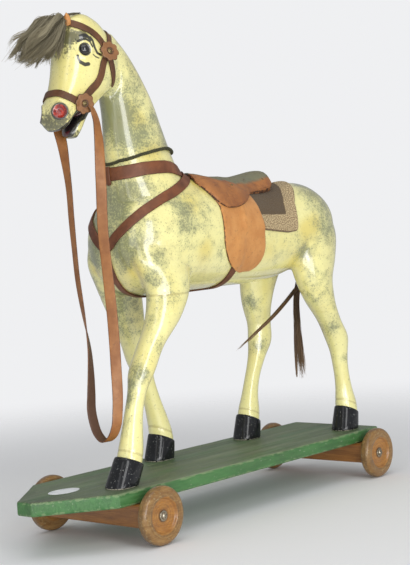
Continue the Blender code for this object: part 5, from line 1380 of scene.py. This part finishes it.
def makeNeckCord(trees):
    # Three strands laid round each other along the loop
    count, radius = 420, straps["cord"] / 2
    places, normals = roundTheNeck(straps["cordHeights"], count, trees)
    centres = []
    for i in range(count):
        along = (places[(i + 1) % count] - places[i - 1]).normalized()
        out = (normals[i] - along * normals[i].dot(along)).normalized()
        centres.append((places[i] + out * (radius + 0.0002), along.cross(out), out))
    lines = []
    for strand in range(3):
        line = []
        for i in range(count + 1):
            centre, across, out = centres[i % count]
            angle = 2 * math.pi * (40 * i / count + strand / 3)
            line.append(centre + (across * math.cos(angle) + out * math.sin(angle)) * 0.46 * radius)
        lines.append(np.array([tuple(p) for p in line]))
    thick = np.full(sum(len(line) for line in lines), 0.56 * radius)
    addPiece("neck_cord_twist", strandMesh("cord", lines, "dark_cord", 7, thick=thick), "dark_cord",
        replaced=["neck_cord"])


def makeStraps():
    trees = list(skinTrees)
    makeCollar(trees)
    makeNeckCord(trees)

    def strap(name, width, places, normals):
        trees.append(layBand(name, trees, places, normals, width, straps["leather"], "brown_leather",
            replaced=[name]))

    strap("breast_strap", straps["breastWidth"], *bothSides(*stationsOnSkin(sidePath(straps["breast"], -1))))
    centre = above(straps["girthX"], 0, 0.29)
    strap("girth", straps["girthWidth"], *roundTheBody(centre, 92, 268, 130, skinTrees))
    strap("martingale", straps["martingaleWidth"], *stationsOnSkin(sidePath(straps["martingale"], -1)))
    return trees


bodyTrees = makeStraps()
print("straps are on")


# Saddle cloth, flaps and the padded seat; places are read as rays out of an axis inside the trunk

saddle = {
    "axis": 0.29, "front": -0.008, "length": 0.169, "forward": 0.024, "cantle": 0.026, "skirt": 0.0028,
    "flap": 0.0022, "cloth": 0.0024, "clothFront": 0.04,
    "clothRear": ([0, 11, 30, 51, 66, 82], [0.2065, 0.2055, 0.1905, 0.1706, 0.1648, 0.162]),
    "clothFoot": ([0, 0.4, 0.85, 1], [81, 84, 88.5, 87]),
    "panelRear": ([0, 13, 49, 67, 90], [0.191, 0.182, 0.149, 0.1396, 0.134]), "panelFoot": 66,
    "flapAngles": [22, 35, 47, 56, 67, 84, 92, 96],
    "flapFront": [0.0, -0.013, -0.0095, -0.003, -0.002, -0.0015, -0.001, -0.001],
    "flapRear": [0.074, 0.08, 0.0815, 0.0815, 0.0815, 0.0835, 0.085, 0.085]
}


def trunkPlace(x, angle):
    out = Vector((0, math.sin(angle), math.cos(angle)))
    return castTo(skinTrees[1:], Vector(above(x, 0, saddle["axis"])) + out * 0.2, -out)[0], out


def sheetMesh(name, low, ways, height, tops, edge, extra=None):
    # A closed sheet from a grid: its top rounds off towards the rim
    rows, columns = len(low), len(low[0])
    points, values = [], []
    for layer in range(2):
        for i in range(rows):
            for j in range(columns):
                rise = height[i, j] + (tops[i, j] if layer else 0)
                points.append(low[i][j] + ways[i][j] * rise)
                values.append(edge[i, j])
    count, faces = rows * columns, []
    for i in range(rows - 1):
        for j in range(columns - 1):
            a, b = i * columns + j, (i + 1) * columns + j
            faces += [(a, a + 1, b + 1, b), (count + a, count + b, count + b + 1, count + a + 1)]
    rim = [(j, j + 1) for j in range(columns - 1)]
    rim += [((rows - 1) * columns + j, (rows - 1) * columns + j + 1) for j in range(columns - 1)]
    rim += [(i * columns + e, (i + 1) * columns + e) for i in range(rows - 1) for e in (0, columns - 1)]
    faces += [(a, b, count + b, count + a) for a, b in rim]
    mesh = closedMesh(name, points, faces, sharp=60)
    setValues(mesh, "edge", values)
    for key, grid in (extra or {}).items():
        setValues(mesh, key, np.concatenate([grid.ravel(), grid.ravel()]))
    return mesh


def edgeShare(rows, columns, rowWidth, columnWidth, reach):
    # 1 on the rim of a grid, falling to 0 over a reach
    down = np.minimum(np.arange(rows), np.arange(rows)[::-1])[:, None] * rowWidth
    along = np.minimum(np.arange(columns), np.arange(columns)[::-1])[None, :] * columnWidth
    return np.clip(1 - np.minimum(down, along) / reach, 0, 1)


def makeCloth(trees):
    rows, columns = ((121, 121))
    angles, shares = np.linspace(-86, 86, rows), np.linspace(0, 1, columns)
    places, ways = [], []
    border = np.zeros((rows, columns))
    spots = np.zeros((rows, columns, 2))
    feet = np.interp(shares, *saddle["clothFoot"]) / 86
    for i, angle in enumerate(angles):
        rear = np.interp(abs(angle), *saddle["clothRear"]) - 0.005 * max(0, (abs(angle) - 79) / 7) ** 2.5
        line = [trunkPlace(saddle["clothFront"] + (rear - saddle["clothFront"]) * s,
            math.radians(angle * foot)) for s, foot in zip(shares, feet)]
        places.append([p for p, _ in line])
        ways.append([w for _, w in line])
        for j, (p, _) in enumerate(line):
            down = abs(angle) * feet[j]
            panel = p.x - np.interp(down, *saddle["panelRear"])
            border[i, j] = max(panel, (down - saddle["panelFoot"]) * 0.0011)
            spots[i, j] = (p.x, angle * feet[j] * 0.00112)
    height = draped(trees, places, ways, passes=6)
    edge = edgeShare(rows, columns, 0.0016, 0.0014, 0.0032)
    ripple = 0.0003 * np.sin(angles[:, None] * 0.31 + shares[None, :] * 3)
    tops = saddle["cloth"] * (1 - 0.45 * edge ** 3) + 0.0005 * (border > 0) + ripple * (1 - edge)
    mesh = sheetMesh("cloth", places, ways, height, tops, edge, {"border": border})
    layer = mesh.uv_layers.new(name="UVMap")
    flat = np.concatenate([spots.reshape(-1, 2), spots.reshape(-1, 2)])
    for loop in mesh.loops:
        layer.data[loop.index].uv = flat[loop.vertex_index]
    made = addPiece("saddle_cloth_tweed", mesh, "tweed", replaced=["saddle_cloth"])
    area = sum(face.area for face in mesh.polygons) / 2
    return treeOf(mesh), area


def makeFlaps(trees):
    steps = np.concatenate([np.linspace(22, 124, 64),
        134.2 - 10.2 * np.cos(np.linspace(0.16, math.pi / 2, 16))])
    front = through([(a, 0, 0, f, r) for a, f, r in zip(saddle["flapAngles"], saddle["flapFront"],
        saddle["flapRear"])], 300)
    shares = np.linspace(0, 1, 45)
    made = []
    for hand, side in hands:
        places, ways = [], []
        for angle in steps:
            ahead, behind = (float(np.interp(angle, front[:, 0], front[:, c])) for c in (3, 4))
            if angle > 92:
                share = (angle - 92) / 42.4
                middle = 0.042 + 0.0125 * share ** 1.2
                half = 0.043 * (1 - share ** 2.1) ** (1 / 2.1)
                ahead, behind = middle - half, middle + half
            line = [trunkPlace(ahead + (behind - ahead) * s, math.radians(side * angle)) for s in shares]
            places.append([p for p, _ in line])
            ways.append([w for _, w in line])
        height = draped(trees, places, ways, passes=20)
        edge = edgeShare(len(steps), len(shares), 0.0019, 0.0019, 0.0034)
        tops = saddle["flap"] * (1 - 0.5 * edge ** 3)
        mesh = sheetMesh("flap", places, ways, height, tops, edge)
        addPiece("saddle_flap_look_" + hand, mesh, "suede", replaced=["saddle_flap_" + hand])
        made.append(treeOf(mesh))
    return made


def makeSeat(trees):
    # Leather drawn over a stuffed pad and nailed down; the skirt's corners reach forward
    rows, columns = ((96, 81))
    start, size, rise = saddle["front"], saddle["length"], 0.3748
    stations = through([(s, 0, 0, w) for s, w in ((0.0, 15), (0.03, 28), (0.064, 40), (0.113, 52.5),
        (0.17, 58.5), (0.243, 59.5), (0.32, 57.5), (0.4, 51.5), (0.48, 44.0), (0.566, 36.5), (0.68, 32),
        (0.82, 28.5), (0.932, 24), (1.0, 17))], 200)
    crown = through([(start + size * s, 0, 0, rise + z)
        for s, z in ((0, 0.0006), (0.084, 0.0022), (0.209, -0.0006), (0.335, -0.0034), (0.431, -0.005),
        (0.552, -0.0056), (0.634, -0.0048), (0.74, -0.0024), (0.865, 0.0026), (0.942, 0.0042),
        (1.0, 0.0034))], 200)
    shares = (1 - np.cos(np.linspace(0, math.pi, rows))) / 2 * 0.35 + np.linspace(0, 1, rows) * 0.65
    across = np.sin(np.linspace(-math.pi / 2, math.pi / 2, columns)) * 0.45
    across += np.linspace(-1, 1, columns) * 0.55
    places, ways = [], []
    tops, pads = np.zeros((rows, columns)), np.zeros((rows, columns))
    for i, share in enumerate(shares):
        x, wide = start + size * share, float(np.interp(share, stations[:, 0], stations[:, 3]))
        middle = float(np.interp(x, crown[:, 0], crown[:, 3])) - saddle["axis"]
        back = trunkPlace(x, 0)[0].z - boardTop - saddle["axis"]
        edge = float(np.interp(share, [0, 0.35, 0.75, 1],
            [saddle["skirt"], saddle["skirt"], 0.28 * saddle["cantle"], 0.36 * saddle["cantle"]]))
        line = []
        for j, s in enumerate(across):
            angle = wide * s
            ahead = saddle["forward"] * max(0.0, 1 - share / 0.38) * min(1.0, abs(angle) / 30) ** 1.5
            place, way = trunkPlace(x - ahead, math.radians(angle))
            line.append((place, way))
            pads[i, j] = max(0.0, middle - back - edge) * (1 - abs(s) ** 2.6) ** 1.2
            tops[i, j] = edge
        places.append([p for p, _ in line])
        ways.append([w for _, w in line])
    height = draped(trees, places, ways, passes=30)
    overCloth = np.array([[saddle["cloth"] if p.x > saddle["clothFront"] else 0 for p in row]
        for row in places])
    for _ in range(8):
        ends = np.pad(overCloth, ((1, 1), (0, 0)), mode="edge")
        overCloth = (ends[:-2] + ends[2:] + 2 * overCloth) / 4
    edge = edgeShare(rows, columns, 0.0016, 0.0016, 0.0032)
    full = np.maximum(tops + pads + overCloth, saddle["skirt"] + height)
    tops = (full - height) * (1 - 0.42 * edge ** 3)
    # The worn green-grey top reaches a few millimetres down from the crown
    tall = np.array([[(p + w * f).z for p, w, f in zip(*row)] for row in zip(places, ways, full)])
    reach = np.interp(shares, [0, 0.2, 0.45, 0.85, 1], [0.0016, 0.0075, 0.0095, 0.0108, 0.01])[:, None]
    crownValue = np.clip(1 - (tall.max(axis=1, keepdims=True) - tall) / (2 * reach), 0, 1)
    mesh = sheetMesh("seat", places, ways, height, tops, edge, {"crown": crownValue})
    made = addPiece("saddle_seat_leather", stuffed(mesh, rows * columns), "seat_leather",
        replaced=["saddle_seat"])
    return treeOf(made.data)


def stuffed(mesh, count):
    # The leather swells over its stuffing: cloth with pressure, its rim and underside held by the nails
    host = placed("stuffing", mesh)
    start = coordinates(mesh)
    rim = valuesOf(mesh, "edge")
    held = host.vertex_groups.new(name="held")
    for index in range(len(mesh.vertices)):
        held.add([index], 1.0 if index < count else float(min(1.0, rim[index] * 1.5)), "REPLACE")
    cloth = host.modifiers.new("cloth", "CLOTH")
    for key, value in {"quality": 6, "mass": 0.25, "tension_stiffness": 25, "compression_stiffness": 25,
            "bending_stiffness": 2.5, "use_pressure": True, "uniform_pressure_force": 3.0,
            "shrink_min": -0.012, "vertex_group_mass": "held"}.items():
        setattr(cloth.settings, key, value)
    cloth.settings.effector_weights.gravity = 0.0
    cloth.collision_settings.use_collision = False
    cloth.point_cache.frame_start = 1
    cloth.point_cache.frame_end = 20
    for step in range(1, 21):
        bpy.context.scene.frame_set(step)
    moved = coordinates(evaluatedMesh(host))
    bpy.context.scene.frame_set(1)
    host.modifiers.clear()
    shift = moved - start
    size = np.linalg.norm(shift, axis=1, keepdims=True)
    print("stuffing moved up to", round(float(size.max()) * 1000, 2), "mm")
    shift *= np.minimum(1.0, 0.0035 / np.maximum(size, 1e-9))
    moveTo(mesh, start + shift)
    bpy.data.objects.remove(host)
    return mesh


def makeNails(seatTree, trees):
    # Small tacks along the seat's foot, at the girth and at the breast strap
    places, ways = [], []
    for _, side in hands:
        for x, height in ((0.042, 0.3587), (0.1343, 0.3682)):
            hit = seatTree.ray_cast(Vector(above(x, side * 0.2, height)), Vector((0, -side, 0)))
            if hit[0] is not None:
                places.append(hit[0])
                ways.append(hit[1])
    hit = castTo(trees, Vector(above(-0.3, 0, 0.287)), alongX)
    places.append(hit[0])
    ways.append(hit[1])
    tool = turnedTool("tackTool", [(0.0016, -0.0004), (0.0016, 0.0001), (0.0014, 0.0005), (0.0009, 0.0008),
        (0.0004, 0.0009)], 16)
    addPiece("tacks", fixingMesh("tacks", places, ways, tool, "old_brass"), "steel", look="old_brass")
    dropTool(tool)


clothTree, clothArea = makeCloth(bodyTrees)
print("saddle cloth lies,", round(clothArea, 4), "square metres")
flapTrees = makeFlaps(bodyTrees + [clothTree])
seatTree = makeSeat(bodyTrees + [clothTree] + flapTrees)
makeNails(seatTree, bodyTrees)
print("saddle is on")


# Hair: clumped strands combed along locks

hairLooks = {
    "tail": {"seed": 11, "thick": 0.0003, "points": 30,
        "locks": [
            (400, 15, [(0.264, 0.0, 0.324, 0.004), (0.286, 0.001, 0.319, 0.0044),
                (0.2945, 0.004, 0.298, 0.0046), (0.29, 0.014, 0.262, 0.0046), (0.278, 0.024, 0.232, 0.005),
                (0.271, 0.029, 0.203, 0.0052), (0.27, 0.031, 0.149, 0.0062), (0.272, 0.031, 0.112, 0.0074),
                (0.274, 0.031, 0.072, 0.0088)]),
            (260, 10, [(0.264, 0.0, 0.324, 0.0038), (0.286, 0.001, 0.318, 0.004),
                (0.294, 0.002, 0.293, 0.0042), (0.284, 0.008, 0.252, 0.0038), (0.262, 0.009, 0.222, 0.0034),
                (0.23, 0.006, 0.203, 0.003), (0.18, 0.002, 0.176, 0.0027), (0.13, 0.0, 0.153, 0.0022),
                (0.088, 0.0, 0.132, 0.0024)]),
            (120, 6, [(0.268, 0.03, 0.185, 0.0022), (0.265, 0.032, 0.13, 0.0026),
                (0.264, 0.033, 0.074, 0.0026)])
        ]},
    "forelock": {"seed": 5, "thick": 0.0004, "points": 14, "strands": 2400, "clumps": 76,
        "root": (-0.206, 0.0, 0.561), "rootWide": (0.008, 0.013),
        "upper": [(-0.215, 0.566), (-0.239, 0.55), (-0.259, 0.537), (-0.275, 0.517)],
        "middle": [(-0.212, 0.559), (-0.23, 0.539), (-0.252, 0.518), (-0.275, 0.504)],
        "lower": [(-0.207, 0.554), (-0.2095, 0.54), (-0.213, 0.526), (-0.217, 0.511)], "wispStrands": 34,
        "wisp": [(-0.202, -0.003, 0.561), (-0.195, -0.006, 0.567), (-0.186, -0.0095, 0.5695),
            (-0.1775, -0.011, 0.5705)]}
}


def keptOff(tree, points, distance):
    for point in points:
        near, normal, _, away = tree.find_nearest(Vector(point))
        gap = (Vector(point) - near).dot(normal)
        if gap < distance and away < 0.02:
            point += np.array(normal * (distance - gap))
    return points


def combedTail():
    look = hairLooks["tail"]
    rng = np.random.default_rng(look["seed"])
    lines, thick, tone, share = [], [], [], []
    for strands, clumps, rows in look["locks"]:
        spine = through([above(x, y, z) + (r,) for x, y, z, r in rows], 60)
        steps = np.linspace(0, 1, 60)
        along = np.gradient(spine[:, :3], axis=0)
        along /= np.linalg.norm(along, axis=1, keepdims=True)
        sideways = np.cross(along, (0.3, 1, 0.2))
        sideways /= np.linalg.norm(sideways, axis=1, keepdims=True)
        other = np.cross(along, sideways)
        homes = [(rng.uniform(0, 6.28), math.sqrt(rng.uniform(0, 1)), rng.uniform(-0.8, 0.8),
            rng.uniform(0, 1), rng.uniform(0.9, 1.0)) for _ in range(clumps)]
        for n in range(strands):
            angle, out, turn, pale, length = homes[n % clumps]
            length *= rng.uniform(0.9, 1.0)
            own, reach = rng.uniform(0, 6.28), rng.uniform(0, 0.42)
            wave, phase = rng.uniform(0.2, 0.9), rng.uniform(0, 6.28)
            t = np.linspace(0, length, look["points"])
            centre, side, rise = ([np.interp(t, steps, column) for column in block.T]
                for block in (spine, sideways, other))
            radius = centre[3]
            bend = angle + turn * t * 3 + wave * 0.5 * np.sin(t * 9 + phase)
            a = radius * (0.72 * out * np.cos(bend) + reach * np.cos(own + 2 * t))
            b = radius * (0.72 * out * np.sin(bend) + reach * np.sin(own + 2 * t))
            line = np.array(centre[:3]).T + np.array(side).T * a[:, None] + np.array(rise).T * b[:, None]
            lines.append(line)
            u = t / length
            thick += list(look["thick"] * (1 - 0.6 * u ** 3))
            tone += [float(np.clip(pale * 0.7 + rng.uniform(-0.1, 0.4), 0, 1))] * len(t)
            share += list(u)
    mesh = strandMesh("tail", lines, "horsehair", 4, thick=thick, tone=tone, share=share)
    addPiece("tail_hair", mesh, "horsehair", replaced=["tail"])


def combedForelock():
    look = hairLooks["forelock"]
    rng = np.random.default_rng(look["seed"])
    upper, middle, lower = (np.array(look[key]) for key in ("upper", "middle", "lower"))
    lines, thick, tone, share = [], [], [], []
    homes = []
    for n in range(look["clumps"]):
        q = (n + rng.uniform(0, 0.9)) / look["clumps"]
        homes.append((q, rng.uniform(-1, 1), rng.uniform(-0.004, 0.004), rng.uniform(0, 1),
            rng.uniform(0.84, 1.06), rng.uniform(-0.003, 0.003)))
    for n in range(look["strands"]):
        q, sideways, lift, pale, length, sway = homes[n % look["clumps"]]
        stray = n % 29 == 0
        length *= rng.uniform(0.8, 1.0) * (1.12 if stray else 1.0)
        blend = min(1.0, max(0.0, q + rng.normal(0, 0.02)))
        near, far = min(1.0, 2 * blend ** 0.8), max(0.0, 2 * blend ** 0.8 - 1)
        flat = upper * (1 - near) + middle * (near - far) + lower * far
        root = np.array(look["root"]) + (rng.uniform(-1, 1) * look["rootWide"][0],
            rng.uniform(-1, 1) * look["rootWide"][1], 0)
        own = rng.normal(0, 1, 3) * (0.0016 if not stray else 0.0045)
        rows = [root]
        for step, (x, z) in enumerate(flat):
            u = (step + 1) / len(flat)
            y = sideways * (0.0125 + 0.0055 * math.sin(u * 3)) + sway * u
            rows.append(np.array([x, y, z + lift * u]) + own * (1.2 - 0.9 * u) * (u if not stray else 2 * u))
        path = through(rows, 24)
        t = np.linspace(0, length, look["points"])
        steps = np.linspace(0, 1, 24)
        end = (path[-1] - path[-3]) * 8
        line = np.array([[np.interp(v, steps, path[:, c]) + max(0.0, v - 1) * end[c]
            for c in range(3)] for v in t])
        line[:, 2] += boardTop + 0.0034 * t * np.sin(t * 8 + 37 * q) + 0.0008 * np.sin(t * 15 + n)
        line[:, 1] += 0.003 * t * np.sin(t * 7 + 59 * q)
        line[:, 0] += 0.0024 * t * np.sin(t * 9 + 83 * q)
        lines.append(keptOff(skinTrees[0], line, 0.0006))
        u = t / length
        thick += list(look["thick"] * (0.8 if stray else 1.0) * (1 - 0.8 * u ** 2.5))
        # Tone is darker on the lower strands and at the roots by the head and lighter at the upper tips:
        # painted shade and light on the lock, over its own random tone
        tone += list(np.clip(pale * 0.3 + (1 - q) * (0.25 + 0.6 * u) + rng.uniform(-0.12, 0.12), 0, 1))
        share += list(u)
    # A short dark wisp curls back over the poll
    for _ in range(look["wispStrands"]):
        rows = [np.array(above(x, y, z)) + rng.normal(0, 1, 3) * 0.0007 for x, y, z in look["wisp"]]
        lines.append(through(rows, look["points"]))
        u = np.linspace(0, 1, look["points"])
        thick += list(look["thick"] * (1 - 0.8 * u ** 2))
        tone += [float(rng.uniform(0, 0.3))] * len(u)
        share += list(0.5 * u)
    mesh = strandMesh("forelock", lines, "grey_hair", 3, thick=thick, tone=tone, share=share)
    addPiece("forelock_hair", mesh, "grey_hair", replaced=["forelock"])


combedTail()
combedForelock()
print("hair is combed")


# Board, crossbars, wheels and their screws

board = {
    "length": 0.619, "width": 0.152, "noseWidth": 0.024, "noseTaper": 0.08, "round": 0.0024,
    "corner": 0.0035, "sticker": (-0.243, 0.004, -0.05), "stickerSize": (0.0215, 0.014)
}
undercarriage = {
    "radius": 0.035, "thick": 0.014, "recessDeep": 0.0035, "rimRound": 0.0055, "beamWidth": 0.042,
    "beamLength": 0.176, "axles": (("front", -0.183), ("rear", 0.274)), "axleHeight": 0.035
}


def crossing(a, u, b, v):
    # Where the line from a along u meets the one from b along v
    gap = b - a
    return a + u * ((gap.x * v.y - gap.y * v.x) / (u.x * v.y - u.y * v.x))


def roundedOutline(corners, inset, radius):
    # A convex outline moved inwards, its corners rounded, with points set along its edges
    count, lines, steps = len(corners), [], 6
    centre = sum((Vector(c) for c in corners), Vector((0, 0))) / count
    for i in range(count):
        a, b = Vector(corners[i]), Vector(corners[(i + 1) % count])
        way = (b - a).normalized()
        inward = Vector((-way.y, way.x))
        if inward.dot(centre - a) < 0:
            inward = -inward
        lines.append((a + inward * inset, way, (b - a).length))
    points = []
    for i in range(count):
        (a, u, _), (b, v, length), (c, w, _) = lines[i - 1], lines[i], lines[(i + 1) % count]
        meet = crossing(a, u, b, v)
        turn = math.acos(max(-1, min(1, u.dot(v))))
        reach = max(radius - inset, 0.0006) * math.tan(turn / 2)
        for step in range(steps + 1):
            t = step / steps
            points.append((meet - u * reach) * (1 - t) ** 2 + meet * 2 * t * (1 - t)
                + (meet + v * reach) * t ** 2)
        span = crossing(b, v, c, w) - meet
        many = max(2, int(length / 0.006))
        for step in range(1, many):
            points.append(meet + v * reach + (span - v * reach * 2) * step / many)
    return points


def makeBoard():
    low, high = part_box("platform_board")
    half, wide, nose = board["length"] / 2, board["width"] / 2, board["noseWidth"] / 2
    corners = [
        (-half, nose), (-half, -nose), (-half + board["noseTaper"], -wide), (half, -wide), (half, wide),
        (-half + board["noseTaper"], wide)
    ]
    r = board["round"]
    steps = [(0.007, 0, 0.0), (0.0045, 0, 0.2), (r, 0, 0.7)]
    steps += [(r * (1 - math.sin(a)), r * (1 - math.cos(a)), 1.0) for a in (0.5, 1.05, 1.5708)]
    sides = [(0.0, share, 0.55) for share in (0.3, 0.7)]
    rings, edges = [], []
    rng = np.random.default_rng(3)
    thick = high.z - low.z
    dents = None
    profile = steps + [(0.0, share * thick, e) for _, share, e in sides]
    profile += [(i, thick - z, e) for i, z, e in reversed(steps)]
    for inset, z, edge in profile:
        outline = roundedOutline(corners, inset, board["corner"])
        if dents is None:
            rough = rng.normal(0, 1, len(outline) + 8)
            dents = np.convolve(rough, np.ones(5) / 5, mode="same")[:len(outline)] * 0.00035
        strength = edge if edge > 0.6 else 0.3 * edge
        middle = Vector((0.03, 0))
        ring = []
        for point, dent in zip(outline, dents):
            way = (middle - point).normalized()
            moved = point + way * max(0.0, dent) * strength
            ring.append((moved.x, moved.y, low.z + z
                - (dent * 0.5 * strength if z > thick / 2 and edge > 0.6 else 0)))
        rings.append(ring)
        edges += [edge] * len(ring)
    mesh = loft("board", rings, sharp=60)
    setValues(mesh, "edge", edges + [0, 0])
    addPiece("board_painted", mesh, "green_paint", replaced=["platform_board"])


def makeSticker():
    # A bare white oval
    x, y, turn = board["sticker"]
    a, b = board["stickerSize"]
    rings = []
    for size, rise in ((1.0, 0.00005), (1.0, 0.00022), (0.97, 0.00028), (0.5, 0.00028)):
        ring = []
        for angle in turns(72):
            u, v = a * size * math.cos(angle), b * size * math.sin(angle)
            ring.append((x + u * math.cos(turn) - v * math.sin(turn),
                y + u * math.sin(turn) + v * math.cos(turn), boardTop + rise))
        rings.append(ring)
    addPiece("blank_sticker", loft("sticker", rings), "paper")


def makeBeams():
    for end, x in undercarriage["axles"]:
        low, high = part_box(end + "_axle_beam")
        wide, long, r = undercarriage["beamWidth"] / 2, undercarriage["beamLength"] / 2, 0.0022
        corners = [(-wide, -long), (wide, -long), (wide, long), (-wide, long)]
        rings, edges = [], []
        steps = [(0.006, 0, 0.0), (r, 0, 0.6)]
        steps += [(r * (1 - math.sin(a)), r * (1 - math.cos(a)), 1.0) for a in (0.5, 1.05, 1.57)]
        tall = high.z - low.z
        profile = steps + [(0, tall * 0.35, 0.4), (0, tall * 0.7, 0.4)]
        profile += [(i, tall - h, e) for i, h, e in reversed(steps)]
        for inset, z, edge in profile:
            outline = roundedOutline(corners, inset, 0.003)
            rings.append([(x + p.x, p.y, low.z + z) for p in outline])
            edges += [edge] * len(outline)
        mesh = loft("beam", rings, sharp=60)
        setValues(mesh, "edge", edges + [0, 0])
        addPiece("crossbar_" + end, mesh, "beam_wood", replaced=[end + "_axle_beam"])


def wheelProfile():
    u = undercarriage
    half, rim, radius = u["thick"] / 2, u["rimRound"], u["radius"]
    floor = half - u["recessDeep"]
    rows = [(0.0026, floor), (0.0034, floor + 0.0002), (0.0066, floor + 0.0002), (0.007, floor)]
    for r in np.linspace(0.0078, 0.0182, 18):
        rows.append((r, floor + 0.00022 * math.sin((r - 0.0078) * 1800)
            - 0.0003 * math.sin((r - 0.0078) / 0.0104 * 3.14)))
    rows += [(0.019, floor), (0.0198, floor + 0.0003), (0.0208, floor + 0.0016), (0.0216, floor + 0.0026),
        (0.0224, floor + 0.0031), (0.0232, half - 0.0002), (0.024, half), (0.0262, half),
        (0.0264, half - 0.0003), (0.0268, half - 0.0003), (0.027, half)]
    corner = [(radius - rim + rim * math.sin(a), half - rim + rim * math.cos(a))
        for a in np.linspace(0.05, 1.5708, 11)]
    rows += corner + [(radius - 0.0002, 0.0)] + [(r, -z) for r, z in reversed(corner)]
    rows += [(0.0262, -half), (0.015, -half), (0.008, -half), (0.0028, -half)]
    edges = [0.0] * 4 + [0.05] * 18 + [0.2, 0.3, 0.3, 0.5, 0.9, 1.0, 0.9, 0.5, 0.4, 0.4, 0.5]
    edges += list(np.linspace(0.6, 1.0, 11)) + [0.9] + list(np.linspace(1.0, 0.6, 11)) + [0.3, 0.2, 0.2, 0.3]
    return rows, edges


def makeWheels():
    rows, edges = wheelProfile()
    sides = 96
    faces, ways = [], []
    for end, x in undercarriage["axles"]:
        for hand, side in hands:
            tag = "%s_%s" % (end, hand)
            low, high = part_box("wheel_" + tag)
            middle = Vector((x, (low.y + high.y) / 2, undercarriage["axleHeight"]))
            rings, local = [], []
            for radius, rise in rows:
                ring = []
                for angle in turns(sides):
                    u, v = radius * math.cos(angle), radius * math.sin(angle)
                    ring.append(middle + Vector((u, side * rise, v)))
                    local.append((u, v, rise + 0.1 * x))
                rings.append(ring)
            mesh = loft("wheel", rings, closed=True, sharp=45)
            setValues(mesh, "edge", np.repeat(edges, sides))
            setValues(mesh, "local", local, "FLOAT_VECTOR")
            addPiece("wheel_turned_" + tag, mesh, "turned_wood", body="wheel_%s_body" % tag,
                replaced=["wheel_" + tag])
            faces.append(Vector((x, side * 0.0991, undercarriage["axleHeight"])))
            ways.append(Vector((0, side, 0)))
    heads = [face + way * 0.0011 for face, way in zip(faces, ways)]
    washer = turnedTool("washerTool", [(0.0026, 0.0), (0.006, 0.0), (0.00625, 0.0002), (0.00625, 0.0008),
        (0.006, 0.001), (0.0026, 0.001)], 40)
    screw = turnedTool("wheelScrew", [(0.0025, -0.03), (0.0025, -0.0002), (0.0042, 0.0), (0.00425, 0.0004),
        (0.004, 0.0014), (0.0032, 0.0023), (0.002, 0.0028), (0.0008, 0.003)], 32, slot=0.0012)
    for kind, places, tool in (("washer", faces, washer), ("screw", heads, screw)):
        addPiece("wheel_%ss" % kind, fixingMesh(kind + "s", places, ways, tool, "steel"), "steel",
            replaced=["wheel_%s_%s" % (kind, tag) for tag in legs])
        dropTool(tool)


def makeUndersideScrews():
    flat = turnedTool("flatScrew", [(0.002, -0.02), (0.002, -0.002), (0.0039, -0.0001), (0.004, 0.0002),
        (0.0039, 0.00035), (0.001, 0.00038)], 28, slot=0.0007)
    for kind in ("beam", "hoof"):
        names = ["%s_screw_%s" % (kind, tag) for tag in legs]
        places = [((low.x + high.x) / 2, (low.y + high.y) / 2, low.z) for low, high in map(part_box, names)]
        addPiece(kind + "_screws", fixingMesh(kind, places, [(0, 0, -1)] * 4, flat, "steel"),
            "steel", replaced=names)
    dropTool(flat)


makeBoard()
makeSticker()
makeBeams()
makeWheels()
makeUndersideScrews()
print("board and wheels are ready")
